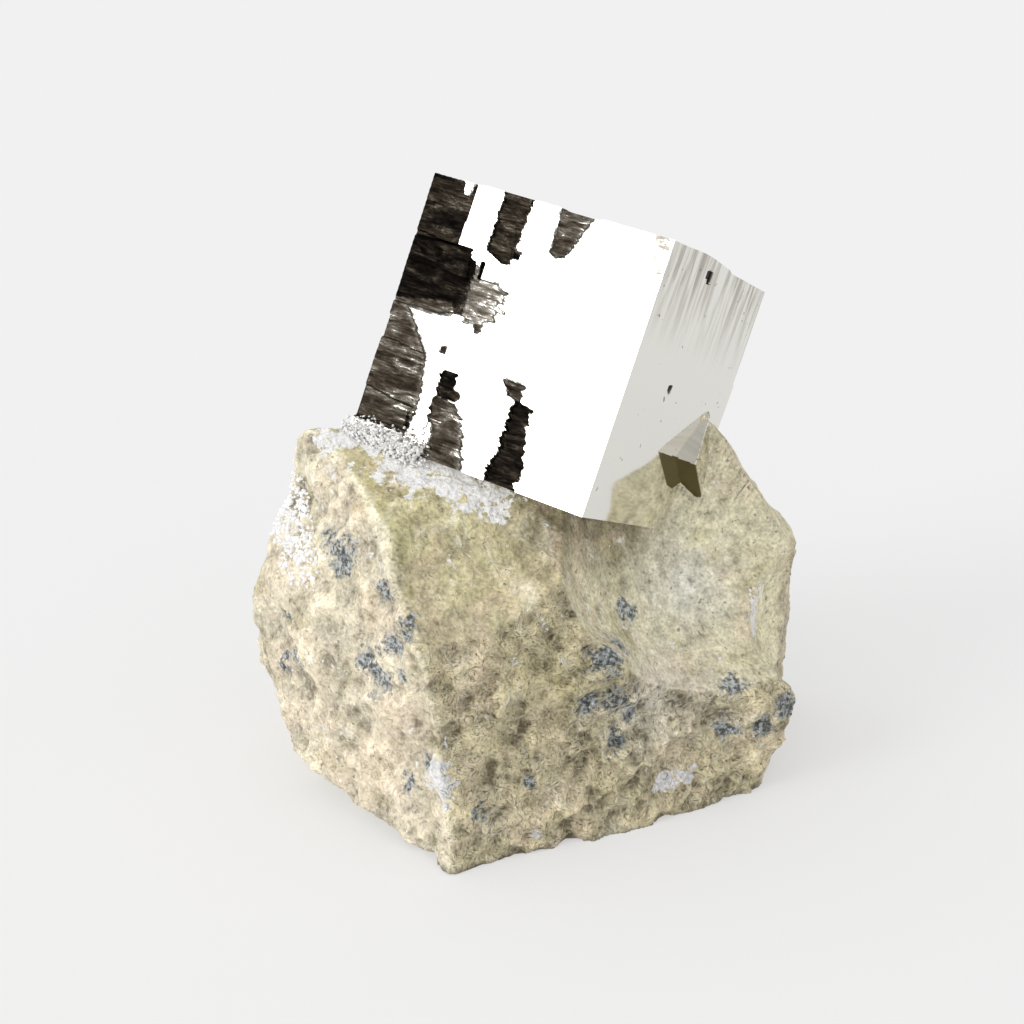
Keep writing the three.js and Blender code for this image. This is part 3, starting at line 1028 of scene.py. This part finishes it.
@dataclass
class CompanionCrystal:
    """The small crystal on the cube's right face, in the cube's axes."""

    seat: CubeSeat
    place: Placement
    # Each facet is a plane through three named corners.
    facets: tuple[tuple[str, str, str], ...] = (
        ("outer_front", "outer_low", "outer_back"),
        ("foot_front", "outer_front", "upper"),
        ("outer_front", "outer_back", "upper"),
        ("foot_front", "foot_low", "outer_low"),
        ("foot_top", "upper", "outer_back"),
        ("foot_top", "foot_low", "outer_low"),
        ("foot_front", "foot_low", "foot_top"),
        ("foot_front", "foot_top", "upper"),
    )
    # The darkened facets' dark olive is tarnish and a painted dark reflection.
    tarnish_and_reflection: tuple[float, ...] = (0.0, 0.0, 0.0, 0.97, 0.0, 0.6, 0.0, 0.0)  # one for each facet
    cells: int = 56
    edge_sharpness: float = 160.0
    sunk: float = 0.45  # how far the foot reaches into the cube's face
    droop: float = 0.55  # how far the front of the foot hangs below the waist

    def build(self, material: bpy.types.Material) -> bpy.types.Object:
        """Builds the crystal as the space inside its facets, seen from its middle.

        Args:
            material: the pyrite finish.

        Returns:
            The piece. reach = (sum of (n . (q - middle) / (n . d))^-s)^(-1/s) over the facets.
        """
        corners = companion_corners()
        corners["foot_front"] = corners["foot_front"] - (0.0, 0.0, self.droop)
        middle = np.mean(list(corners.values()), axis=0)
        lattice = box_lattice((self.cells,) * 3)
        directions = sphere_directions(lattice, self.cells)
        inverse = np.zeros(len(directions))
        number_there = np.zeros(len(directions))
        nearest = np.full(len(directions), np.inf)
        for number, (a, b, c) in enumerate(self.facets):
            normal = unit(np.cross(corners[b] - corners[a], corners[c] - corners[a]))
            height = float(normal @ (corners[a] - middle))
            if height < 0:
                normal, height = -normal, -height
            if all(name.startswith("foot") for name in (a, b, c)):
                height += self.sunk
            closing = directions @ normal
            reach = np.where(closing > 1e-3, height / np.maximum(closing, 1e-3), 1e3)
            inverse += (reach / 10.0) ** -self.edge_sharpness
            number_there = np.where(reach < nearest, number, number_there)
            nearest = np.minimum(nearest, reach)
        reach = 10.0 * inverse ** (-1.0 / self.edge_sharpness)
        local = middle + directions * reach[:, None]
        corner_ids = lattice.quads.ravel()
        facet = number_there[lattice.quads].max(1).repeat(4).astype(int)
        place = local[corner_ids]
        data = {
            "grain": np.stack([place[:, 2], place[:, 1], 300.0 + facet * 7.0], -1),
            "dark": np.zeros(len(corner_ids)),
            "tone": np.full(len(corner_ids), 0.1),
            "cloud": np.full(len(corner_ids), 0.25),
            "tarnish_and_reflection": np.array(self.tarnish_and_reflection)[facet],
        }
        points = self.place.metres(self.seat.to_design(local))
        piece = build_mesh(
            "companion_crystal_grown", points, lattice.quads, material, False, corner_data=data
        )
        declare(piece, "pyrite", "companion_crystal")
        return piece


# ---- the block of marl ---------------------------------------------------------------------


class Zone(Enum):
    """The kinds of broken surface on the block."""

    BEIGE = "beige"
    OLIVE = "olive"
    HACKLY = "hackly"
    BAY = "bay"
    REAR = "rear"


@dataclass(frozen=True)
class Break:
    """How a zone looks: its tint, its chips' height at three sizes, and how coarse its grain is."""

    tint: Colour
    large: float
    middle: float
    small: float
    coarse: float


BREAKS = {
    Zone.BEIGE: Break((0.66, 0.595, 0.465), 1.6, 1.2, 0.55, 0.6),
    Zone.OLIVE: Break((0.48, 0.435, 0.26), 1.4, 0.6, 0.2, 0.4),
    Zone.HACKLY: Break((0.52, 0.455, 0.29), 2.1, 1.7, 0.9, 1.0),
    Zone.BAY: Break((0.66, 0.62, 0.44), 0.8, 0.45, 0.16, 0.35),
    Zone.REAR: Break((0.56, 0.50, 0.36), 1.3, 1.0, 0.7, 0.8),
}


@dataclass(frozen=True)
class Fracture:
    """A flat break: the way it faces, how far from the heart it lies, and its zone."""

    facing: Vec
    reach: float
    zone: Zone


@dataclass(frozen=True)
class Hollow:
    """A hollow break, part of a ball struck out of the block."""

    centre: Vec
    radius: float
    zone: Zone


@dataclass(frozen=True)
class Swelling:
    """A soft rise (or a dip, if negative) around a point, over a distance."""

    at: Vec
    rise: float
    spread: float


@dataclass(frozen=True)
class Crease:
    """A ridge (or a groove, if negative) along a line of ways."""

    along: tuple[Way, ...]
    width: float
    rise: float


@dataclass(frozen=True)
class Wash:
    """A soft patch of another tint around one way, or along a line of ways."""

    along: tuple[Way, ...]
    width: float
    tint: Colour
    strength: float = 0.8


@dataclass(frozen=True)
class Mark:
    """A spot, or a vein along a line of ways, with a width."""

    along: tuple[Way, ...]
    width: float


@dataclass(frozen=True)
class GrainGroup:
    """Dark mineral grains scattered around one way."""

    way: Way
    spread: float
    count: int
    radius: float


def ways(along: tuple[Way, ...]) -> Array:
    """Unit directions: (cos bearing cos rise, sin bearing cos rise, sin rise)."""
    bearing, rise = np.radians(np.array(along, float)).T
    return np.stack([np.cos(bearing) * np.cos(rise), np.sin(bearing) * np.cos(rise), np.sin(rise)], -1)


def clouds(places: Array, size: float, seed: int) -> Array:
    """Three cloudy heights at each place, from three seeds in a row."""
    return np.stack([fractal(places, size, 3, seed + k) for k in range(3)], -1)


def lay(tint: Array, share: Array, colour: Colour) -> None:
    """Moves the tints towards a colour, by each one's share."""
    tint += share[:, None] * (np.array(colour) - tint)


def distance_to_line(points: Array, line: Array) -> Array:
    """How far points are from a line that runs through several places.

    Args:
        points: the points.
        line: the places it runs through, in order.

    Returns:
        The least |point - start - share x run| over the legs, with share kept from 0 to 1. A line
        of one place is just that place.
    """
    best = np.linalg.norm(points - line[0], axis=-1)
    for start, end in zip(line[:-1], line[1:]):
        run = end - start
        share = np.clip((points - start) @ run / (run @ run), 0.0, 1.0)
        best = np.minimum(best, np.linalg.norm(points - start - share[:, None] * run, axis=-1))
    return best


FRACTURES = (
    Fracture((0.45, -0.88, 0.14), 12, Zone.HACKLY),
    Fracture((-0.72, -0.62, 0.3), 34, Zone.BEIGE),
    Fracture((-0.7, -0.71, 0), 30.5, Zone.BEIGE),
    Fracture((-0.93, -0.1, -0.35), 37, Zone.BEIGE),
    Fracture((-0.6, -0.35, -0.72), 29, Zone.BEIGE),
    Fracture((-0.85, 0.45, 0.28), 38, Zone.REAR),
    Fracture((-0.25, 0.35, 0.9), 34, Zone.OLIVE),
    Fracture((0, -0.5, 0.85), 27, Zone.OLIVE),
    Fracture((0.2, -0.7, 0.68), 21.5, Zone.OLIVE),
    Fracture((0.83, 0, 0.56), 25, Zone.BAY),
    Fracture((0.97, -0.2, -0.05), 18.5, Zone.REAR),
    Fracture((0.8, -0.45, -0.4), 23, Zone.HACKLY),
    Fracture((0.2, 0.97, 0.12), 24.5, Zone.REAR),
    Fracture((0.25, 0.72, 0.65), 28, Zone.REAR),
    Fracture((0.1, 0.8, -0.55), 22.5, Zone.REAR),
)
LEFT_BREAKS = slice(1, 5)  # of the fractures, those that make the left face
HOLLOWS = (
    Hollow((4, -36, 52), 34.5, Zone.OLIVE),
    Hollow((32, -17, 37), 28.5, Zone.BAY),
    Hollow((38.5, 3, 18.5), 11, Zone.BAY),
    Hollow((7, -15, 34.5), 7.5, Zone.OLIVE),
    Hollow((-2, 58, 24), 30.5, Zone.REAR),
)
SWELLINGS = (
    Swelling((11, -12, 20.5), 4.2, 4),
    Swelling((-21, 2, 40.5), 2, 3),
    Swelling((32, -2, 10), 2.6, 6),
    Swelling((-1, -18, 20), 1.5, 6),
    Swelling((-13, -13, 33), 1.2, 5),
)
# A way is a bearing (from +x, anticlockwise) and a rise, both in degrees, seen from the block's heart.
CREASES = (
    Crease(((225, 50), (235, 45), (245, 42)), 0.8, 0.6),
    Crease(((240, 30), (250, 25), (262, 25)), 0.8, 0.7),
    Crease(((255, 15), (265, 20), (275, 20)), 0.8, -0.8),
    Crease(((215, 5), (225, 5), (235, 5)), 0.7, 0.45),
    Crease(((285, 5), (305, 5), (325, 0)), 0.8, 0.6),
)
WASHES = (
    Wash(((200, 40),), 2.0, (0.36, 0.235, 0.115), 0.85),
    Wash(((210, 25),), 2.0, (0.47, 0.34, 0.22), 0.6),
    Wash(((285, 10), (300, 10)), 5.0, (0.78, 0.76, 0.68), 0.85),
    Wash(((5, 55),), 5.5, (0.70, 0.70, 0.63), 0.8),
    Wash(((240, 25), (255, 20)), 3.5, (0.31, 0.27, 0.13), 0.6),
    Wash(((220, 0),), 5.0, (0.60, 0.50, 0.39), 0.5),
)
GRAIN_GROUPS = (
    GrainGroup((198, 32), 1.0, 5, 1.5),
    GrainGroup((215, 30), 0.8, 2, 1.1),
    GrainGroup((215, 15), 2.2, 6, 1.2),
    GrainGroup((222, 22), 1.2, 4, 1.2),
    GrainGroup((190, 10), 2.6, 4, 1.0),
    GrainGroup((220, 0), 2.8, 5, 0.9),
    GrainGroup((265, 30), 1.3, 4, 1.7),
    GrainGroup((265, 15), 2.2, 6, 1.3),
    GrainGroup((240, -15), 1.6, 2, 0.9),
    GrainGroup((340, -5), 3.0, 7, 1.3),
    GrainGroup((287, 60), 0.8, 2, 0.9),
    GrainGroup((60, 10), 9.0, 7, 1.2),
    GrainGroup((120, 10), 9.0, 7, 1.1),
)
WHITES = (
    Mark(((230, 0), (230, -5)), 1.4),
    Mark(((245, -25),), 0.8),
    Mark(((250, 50), (252, 47)), 0.35),
    Mark(((247, 28),), 0.5),
    Mark(((290, -30), (305, -30)), 0.9),
    Mark(((15, 25), (10, 15)), 0.8),
    Mark(((100, 20), (115, 15)), 0.9),
)


@dataclass(frozen=True)
class Surface:
    """Places on the block, with their zones' shares and how far each stands off the plain form."""

    points: Array
    shares: dict[Zone, Array]
    ridge: Array
    beside: Array
    relief: Array
    seam: Array


@dataclass
class MarlBlock:
    """The block: flat and hollow breaks seen from its heart, swollen, chipped and marked."""

    seat: CubeSeat
    place: Placement
    heart: Vec = (12, 4, 12)
    cells: int = 127
    edge_sharpness: float = 110.0
    share_sharpness: float = 160.0
    crowding: Vec = (-0.12, -0.30, 0.12)
    recess_shade_width: float = 6.5
    crust_width: float = 3.6
    undercut: float = 1.3
    undercut_height: float = 2.2
    normal_step: float = 0.15  # how far apart the places are that a normal is taken from
    bedding: Vec = (0.86, -0.30, 0.41)  # chips are longer than wide, and lie along it
    crest_highlight_tint: Colour = (0.90, 0.83, 0.62)
    beside_tint: Colour = (0.31, 0.295, 0.135)
    foot_shadow_tint: Colour = (0.09, 0.075, 0.05)
    recess_shade_tint: Colour = (0.12, 0.095, 0.055)

    def plain(self, directions: Array) -> tuple[Array, dict[Zone, Array], Array, Array]:
        """The plain form along unit directions from the heart.

        Args:
            directions: unit directions.

        Returns:
            reach = (sum of reach_i^-s)^(-1/s) over the breaks, plus the swellings
            rise exp(-2 (1 - cos) (distance / spread)^2); each zone's share of the sum; and the
            ridge value 4 a (1 - a) for the left breaks' share a; and how near beside it a place is.
        """
        heart = np.array(self.heart, float)
        reaches, zones = [], []
        for fracture in FRACTURES:
            normal = unit(fracture.facing)
            closing = directions @ normal
            reaches.append(np.where(closing > 1e-6, fracture.reach / np.maximum(closing, 1e-6), np.inf))
            zones.append(fracture.zone)
        for hollow in HOLLOWS:
            offset = heart - np.array(hollow.centre)
            along = directions @ offset
            inside = along**2 - offset @ offset + hollow.radius**2
            hit = (inside > 0) & (along < 0)
            reaches.append(np.where(hit, -along - np.sqrt(np.maximum(inside, 0.0)), np.inf))
            zones.append(hollow.zone)
        table = np.stack(reaches)
        nearest = table.min(0)
        reach = nearest * ((table / nearest) ** -self.edge_sharpness).sum(0) ** (-1 / self.edge_sharpness)
        weights = (table / nearest) ** -self.share_sharpness
        weights /= weights.sum(0)
        shares = {
            zone: sum((weights[k] for k, other in enumerate(zones) if other is zone), np.zeros(len(reach)))
            for zone in Zone
        }
        left = sum(weights[LEFT_BREAKS])
        ridge = 4.0 * left * (1.0 - left)
        # Beside the crest: the left breaks lie only a little further out than the nearest break.
        beside = np.exp(-(((table[LEFT_BREAKS].min(0) / nearest - 1.0) / 0.07) ** 2)) * (1.0 - left)
        for lobe in SWELLINGS:
            offset = np.array(lobe.at) - heart
            distance = np.linalg.norm(offset)
            cosine = directions @ offset / distance
            reach = reach + lobe.rise * np.exp(-2.0 * (1.0 - cosine) * (distance / lobe.spread) ** 2)
        return reach, shares, ridge, beside

    def chips(self, places: Array, shares: dict[Zone, Array]) -> tuple[Array, Array, Array]:
        """The chipped surface over the plain form, by each zone's sizes of chip.

        Args:
            places: places on the plain form.
            shares: the zones' shares there.

        Returns:
            The height: large scallops(8) + middle scallops(3.2) + small (scallops(1.45) +
            scallops(0.9) / 2), at places warped by clouds, plus a fine cloudy height. Then its
            middle and small part alone, and how near a ridge each place is.
        """
        warp = clouds(places, 6.0, 11)
        bent = places + 1.1 * warp
        bedding = unit(self.bedding)
        bent = bent - 0.42 * (bent @ bedding)[:, None] * bedding
        large, _ = scallops(bent, 8.0, 21)
        middle, middle_seam = scallops(bent + 0.3 * warp, 3.2, 22)
        small, small_seam = scallops(bent, 1.45, 23)
        tiny, tiny_seam = scallops(places, 0.9, 24)
        fine = fractal(places, 1.4, 2, 31)
        patchy = 0.55 + 0.9 * smoothstep(-0.35, 0.45, fractal(places, 5.0, 2, 37))
        rise, relief = np.zeros(len(places)), np.zeros(len(places))
        for zone, share in shares.items():
            kind = BREAKS[zone]
            rise += share * kind.large * large
            relief += share * (kind.middle * middle + kind.small * patchy * (small + 0.5 * tiny + 0.4 * fine))
        seam = np.maximum(middle_seam, patchy * np.maximum(0.8 * small_seam, 0.5 * tiny_seam))
        return rise + relief + 0.22 * fractal(places, 9.0, 2, 33), relief, np.clip(seam, 0.0, 1.0)

    def creases(self, places: Array) -> Array:
        """The height of the ridges and grooves.

        Args:
            places: places on the plain form.

        Returns:
            The sum of rise x exp(-(distance / width)^2), at places made ragged by clouds.
        """
        ragged = places + 0.5 * clouds(places, 1.8, 90)
        height = np.zeros(len(places))
        for crease in CREASES:
            line = self.on_plain(crease.along)
            height += crease.rise * np.exp(-((distance_to_line(ragged, line) / crease.width) ** 2))
        return height

    def on_plain(self, along: tuple[Way, ...]) -> Array:
        """The places of the plain form along ways from the heart."""
        directions = ways(along)
        return np.array(self.heart) + directions * self.plain(directions)[0][:, None]

    def surface(self, directions: Array) -> Surface:
        """The finished surface along unit directions from the heart.

        Args:
            directions: unit directions.

        Returns:
            The plain reach plus the chips, less on the ridge, and the creases, cut off at the floor and
            undercut just above it.
        """
        reach, shares, ridge, beside = self.plain(directions)
        heart = np.array(self.heart, float)
        places = heart + directions * reach[:, None]
        height, relief, seam = self.chips(places, shares)
        calm = 1.0 - 0.6 * ridge
        reach = reach + height * calm + self.creases(places)
        down = np.where(directions[:, 2] < -1e-6, heart[2] / np.maximum(-directions[:, 2], 1e-6), np.inf)
        # Near the floor the broken edge is undercut here and there.
        low = smoothstep(self.undercut_height, 0.0, heart[2] + directions[:, 2] * reach)
        reach = reach - self.undercut * low * smoothstep(-0.35, 0.4, fractal(places, 5.0, 3, 35))
        points = heart + directions * np.minimum(reach, down)[:, None]
        points[:, 2] = np.maximum(points[:, 2], 0.0)
        return Surface(points, shares, ridge, beside, relief * calm, seam)

    def tints(self, surface: Surface) -> Array:
        """The marl's colour: the zones' tints by share, washes, a painted pale highlight on the ridge, and
        painted shade at the foot and under the cube.

        Args:
            surface: the finished surface.

        Returns:
            One colour for each point. A wash has strength x exp(-(distance / width)^2).
        """
        points = surface.points
        tint = sum(share[:, None] * np.array(BREAKS[zone].tint) for zone, share in surface.shares.items())
        warped = points + 0.9 * clouds(points, 2.5, 80)
        for wash in WASHES:
            line = self.on_plain(wash.along)
            share = wash.strength * np.exp(-((distance_to_line(warped, line) / wash.width) ** 2))
            lay(tint, share, wash.tint)
        lay(tint, 0.9 * surface.beside * surface.shares[Zone.OLIVE], self.beside_tint)
        # A painted pale highlight along the crest.
        lay(tint, 0.95 * surface.ridge, self.crest_highlight_tint)
        # Painted contact shadow: the foot of the broken edge is darkened towards the floor.
        lay(tint, 0.85 * smoothstep(1.0, 0.15, points[:, 2]), self.foot_shadow_tint)
        # Painted shade under the cube's overhang, darkening the grey-brown crust there.
        clearance = self.seat.clearance(points)
        recess_shade = np.exp(-((np.maximum(clearance, 0.0) / self.recess_shade_width) ** 2))
        recess_shade *= smoothstep(20.0, 11.0, points[:, 0])
        recess_shade *= smoothstep(-3.0, 3.0, points[:, 0]) * (0.85 + 0.35 * fractal(points, 2.2, 3, 39))
        lay(tint, np.clip(recess_shade, 0.0, 0.97), self.recess_shade_tint)
        return tint

    def marks(self, points: Array, marks: tuple[Mark, ...]) -> Array:
        """How far inside the nearest mark each point is.

        Args:
            points: the points.
            marks: the marks.

        Returns:
            1 - distance / width, at least -1.
        """
        inside = np.full(len(points), -1.0)
        for mark in marks:
            distance = distance_to_line(points, self.on_plain(mark.along))
            inside = np.maximum(inside, 1.0 - distance / mark.width)
        return inside

    def grains(self, points: Array) -> Array:
        """How far inside the nearest dark grain each point is, the grains scattered by a fixed seed.

        Args:
            points: the points.

        Returns:
            1 - distance / radius, at least -1.
        """
        rng = np.random.default_rng(41)
        inside = np.full(len(points), -1.0)
        for group in GRAIN_GROUPS:
            middle = self.on_plain((group.way,))[0]
            for _ in range(group.count):
                seat = middle + rng.normal(size=3) * group.spread
                towards = unit(seat - np.array(self.heart))[None]
                place = np.array(self.heart) + towards * self.plain(towards)[0][:, None]
                radius = group.radius * rng.uniform(0.6, 1.3)
                inside = np.maximum(inside, 1.0 - distance_to_line(points, place) / radius)
        return inside

    def crust(self, points: Array) -> Array:
        """White calcite along the cube's lower left front edge.

        Args:
            points: the points.

        Returns:
            1 - distance / width, at least -1.
        """
        half = self.seat.edge / 2
        line = self.seat.to_design([(-half, -half, -half), (0.15 * half, -half, -half)])
        return np.maximum(1.0 - distance_to_line(points, line) / self.crust_width, -1.0)

    def build(self, material: bpy.types.Material) -> bpy.types.Object:
        """Builds the block's mesh.

        Args:
            material: the marl finish.

        Returns:
            The piece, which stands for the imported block.
        """
        lattice = box_lattice((self.cells,) * 3)
        directions = unit(sphere_directions(lattice, self.cells) + np.array(self.crowding))
        surface = self.surface(directions)
        coarse = sum(share * BREAKS[zone].coarse for zone, share in surface.shares.items())
        data = {
            "tint": self.tints(surface),
            "coarse": coarse,
            "relief": np.clip(surface.relief, -1.0, 1.0),
            "seam": surface.seam,
            "grains": self.grains(surface.points),
            "calcite": np.maximum(self.marks(surface.points, WHITES), self.crust(surface.points)),
        }
        points = self.place.metres(surface.points)
        piece = build_mesh("marl_block_broken", points, lattice.quads, material, True, data)
        declare(piece, "marl", "marl_block")
        return piece

    def towards(self, targets: Array) -> tuple[Array, Array]:
        """Finds the surface by looking from the heart.

        Args:
            targets: places to look towards.

        Returns:
            The places seen, and their outward normals: (right - here) x (above - here), from two
            places a small step to the side and up.
        """
        seen = unit(targets - np.array(self.heart))
        side = unit(np.cross(seen, (0.31, 0.17, 0.94)))
        up = np.cross(side, seen)
        here = self.surface(seen).points
        right = self.surface(unit((here - self.heart) + self.normal_step * side)).points
        above = self.surface(unit((here - self.heart) + self.normal_step * up)).points
        return here, unit(np.cross(right - here, above - here))


# ---- calcite crystals ----------------------------------------------------------------------


@dataclass
class CalciteDruse:
    """Pointed calcite crystals that stand on the block around a line of points."""

    name: str
    block: MarlBlock
    place: Placement
    along: Array
    spread: float
    count: int
    length: tuple[float, float]
    seed: int
    nodes: tuple[str, ...] = ()
    mound: float = 0.0  # how far the middle of the crust stands off the block
    outward: Vec | None = None  # if given, the crust clings to the line itself and points this way
    sides: int = 6
    tilt: float = 0.75  # how far the crystals lean at random
    unevenness: float = 0.18
    sunk: float = 0.45  # of a crystal's size, as are the heights of its waist and tip
    waist: float = 0.62
    tip: float = 1.05
    foot_width: float = 0.55  # of the width at the waist

    def build(self, material: bpy.types.Material) -> bpy.types.Object:
        """Builds all the crystals as one mesh.

        Args:
            material: the calcite finish.

        Returns:
            The piece. Each crystal is a foot ring, a waist ring and a tip:
            ring_k = centre + axis h_k + r_k (side cos t + up sin t).
        """
        rng = np.random.default_rng(self.seed)
        stops = self.along
        share = rng.random(self.count) * (len(stops) - 1)
        leg = np.minimum(share.astype(int), max(len(stops) - 2, 0))
        following = np.minimum(leg + 1, len(stops) - 1)
        centres = stops[leg] + (share - leg)[:, None] * (stops[following] - stops[leg])
        scatter = rng.normal(size=(self.count, 3))
        targets = centres + scatter * self.spread * 0.5
        if self.outward is None:
            here, normal = self.block.towards(targets)
        else:
            here, normal = targets, np.tile(unit(self.outward), (self.count, 1))
        off = np.linalg.norm(here - centres, axis=1) / self.spread
        keep = off < 1.6
        here, normal, off = here[keep], normal[keep], off[keep]
        count = len(here)
        lift = self.mound * np.maximum(1.0 - off**2, 0.0) * rng.random(count) ** 0.7
        axis = unit(normal + self.tilt * rng.normal(size=(count, 3)))
        size = rng.uniform(*self.length, count) * (1.15 - 0.4 * off)
        width = size * rng.uniform(0.22, 0.42, count)
        side = unit(np.cross(axis, rng.normal(size=(count, 3))))
        up = np.cross(axis, side)
        foot = here + normal * lift[:, None] - axis * (self.sunk * size)[:, None]
        angles = np.arange(self.sides) * 2 * math.pi / self.sides
        ring = side[:, None] * np.cos(angles)[:, None] + up[:, None] * np.sin(angles)[:, None]
        jitter = 1.0 + self.unevenness * rng.normal(size=(count, self.sides, 1))
        levels = []
        for height, share_of_width in ((0.0, self.foot_width), (self.waist, 1.0)):
            centre = foot + axis * (height * size)[:, None]
            levels.append(centre[:, None] + ring * (share_of_width * width)[:, None, None] * jitter)
        tips = (foot + axis * (self.tip * size)[:, None])[:, None]
        points = np.concatenate([*levels, tips, foot[:, None]], axis=1)
        n = self.sides
        k = np.arange(n)
        after = (k + 1) % n
        walls = np.stack([k, after, n + after, n + k], -1)
        roof = np.stack([n + k, n + after, np.full(n, 2 * n)], -1)
        floor = np.stack([after, k, np.full(n, 2 * n + 1)], -1)
        split_walls = np.concatenate([walls[:, [0, 1, 2]], walls[:, [0, 2, 3]]])
        one = np.concatenate([split_walls, roof, floor])
        faces = (one[None] + (np.arange(count) * (2 * n + 2))[:, None, None]).reshape(-1, 3)
        flat = points.reshape(-1, 3)
        flat[:, 2] = np.maximum(flat[:, 2], 0.0)
        piece = build_mesh(self.name, self.place.metres(flat), faces, material, True)
        declare(piece, "calcite", *self.nodes)
        return piece


# ---- the studio ----------------------------------------------------------------------------


@dataclass
class Studio:
    """A pale seamless floor, an even dome, one broad key light, and the camera."""

    place: Placement
    backdrop: float = 0.863
    dome: float = 0.95
    lean: float = 0.3  # how much brighter the dome is towards the key
    key: float = 0.95
    key_from: Vec = (-0.776, -0.486, 0.398)
    key_width: float = 28.0
    floor_albedo: float = 0.42
    floor_glow: float = 0.43
    floor_half: float = 4.0  # metres from its middle to each side
    # How bright the room is in reflections, by the height that a ray looks at.
    room_bands: tuple[tuple[float, float], ...] = (
        (0.0, 0.80), (0.12, 0.62), (0.3, 0.16), (0.5, 0.10), (0.62, 0.75), (0.8, 0.95), (1.0, 0.5),
    )
    room_tint: Colour = (1.0, 0.985, 0.96)
    camera_at: Vec = (0.0, -188.0, 102.0)
    camera_pitch: float = 20.0
    lens: float = 63.28
    sensor: float = 36.0
    view_range: tuple[float, float] = (0.01, 20.0)  # metres

    def build(self) -> None:
        """Makes the floor, lights and camera, and sets how colours are shown."""
        self.make_floor()
        self.make_world()
        self.make_key()
        self.make_camera()
        scene = bpy.context.scene
        scene.view_settings.view_transform = "Standard"
        scene.view_settings.look = "None"

    def make_floor(self) -> None:
        """A wide plain floor at the base of the specimen."""
        half = self.floor_half
        corners = np.array([(-half, -half, 0), (half, -half, 0), (half, half, 0), (-half, half, 0)], float)
        f = Finish("studio_floor")
        f.set(Base_Color=(self.floor_albedo,) * 3, Roughness=1.0, Specular_IOR_Level=0.0)
        f.set(Emission_Color=(1.0, 1.0, 1.0), Emission_Strength=self.floor_glow)
        floor = build_mesh("studio_floor", corners, np.array([[0, 1, 2, 3]]), f.material, False)

    def make_world(self) -> None:
        """An even pale dome. Reflections see it with darker bands, as of an unlit room."""
        world = bpy.data.worlds.new("studio")
        world.use_nodes = True
        bpy.context.scene.world = world
        n = Nodes(world.node_tree)

        def sky(colour: object, strength: object = 1.0) -> Socket:
            """A sky of one colour and brightness."""
            return n.add("Background", {"Color": colour, "Strength": strength}).outputs[0]

        def choose(share: Socket, *skies: Socket) -> Socket:
            """The first sky where the share is 0 and the second where it is 1."""
            return n.add("MixShader", {0: share, 1: skies[0], 2: skies[1]}).outputs[0]

        path = n.add("LightPath").outputs
        direction = n.add("TexCoord").outputs["Generated"]
        height = n.add("SeparateXYZ", {0: direction}).outputs["Z"]
        bands = tuple(
            (place, tuple(value * part for part in self.room_tint)) for place, value in self.room_bands
        )
        room = sky(n.ramp(height, bands))
        # The dome's brightness is dome x (1 + lean x direction . key).
        level_key = tuple(unit((self.key_from[0], self.key_from[1], 0.0)))
        facing = n.add("VectorMath", {0: direction, 1: level_key}, operation="DOT_PRODUCT")
        brightness = n.sum("MULTIPLY_ADD", facing.outputs["Value"], self.lean * self.dome, self.dome)
        lit = choose(path["Is Glossy Ray"], sky((1.0,) * 3, brightness), room)
        shown = choose(path["Is Camera Ray"], lit, sky((self.backdrop,) * 3))
        n.add("OutputWorld", {"Surface": shown})

    def make_key(self) -> None:
        """A broad soft key light, which the cube's front face mirrors to the camera."""
        light = bpy.data.lights.new("key_softbox", "SUN")
        light.energy = self.key
        light.angle = math.radians(self.key_width)
        holder = bpy.data.objects.new("key_softbox", light)
        bpy.context.scene.collection.objects.link(holder)
        x, y, z = unit(self.key_from)
        holder.rotation_euler = (math.acos(z), 0.0, math.atan2(y, x) + math.pi / 2)

    def make_camera(self) -> None:
        """The camera, level from side to side and pitched down."""
        camera = bpy.data.cameras.new("camera")
        camera.lens = self.lens
        camera.sensor_width = self.sensor
        camera.clip_start, camera.clip_end = self.view_range
        holder = bpy.data.objects.new("camera", camera)
        bpy.context.scene.collection.objects.link(holder)
        holder.location = self.place.metres(self.camera_at)
        holder.rotation_euler = (math.radians(90.0 - self.camera_pitch), 0.0, 0.0)
        bpy.context.scene.camera = holder


# ---- everything ----------------------------------------------------------------------------


def main() -> None:
    """Builds the studio and the specimen's pieces in order."""
    logging.basicConfig(level=logging.INFO, format="%(message)s")
    seat = CubeSeat()
    place = Placement.from_frame(seat, np.array(list(companion_corners().values())))
    Studio(place).build()
    pyrite = PyriteFinish().material("pyrite")
    marl = MarlFinish().material("marl")
    calcite = CalciteFinish().material("calcite")
    block = MarlBlock(seat, place)
    block.build(marl)
    PyriteCube(seat, place).build(pyrite)
    CompanionCrystal(seat, place).build(pyrite)
    half = seat.edge / 2
    toe = seat.to_design([(-half, -half, -half), (-0.4 * half, -half, -half)])
    druses = (
        CalciteDruse(
            "shoulder_druse", block, place, block.on_plain(((174, 33), (181, 29), (190, 24))),
            spread=2.6, count=2300, length=(0.5, 1.3), seed=5, nodes=("calcite_shoulder",), mound=2.2,
        ),
        CalciteDruse(
            "notch_druse", block, place, block.on_plain(((10, 28), (8, 22))),
            spread=1.1, count=260, length=(0.35, 0.8), seed=6, nodes=("calcite_notch",), mound=0.6,
        ),
        CalciteDruse(
            "toe_druse", block, place, toe,
            spread=1.7, count=1800, length=(0.3, 0.8), seed=8, mound=0.5, outward=(-0.1, -0.85, 0.5),
        ),
    )
    for druse in druses:
        druse.build(calcite)


if __name__ == "__main__":
    main()
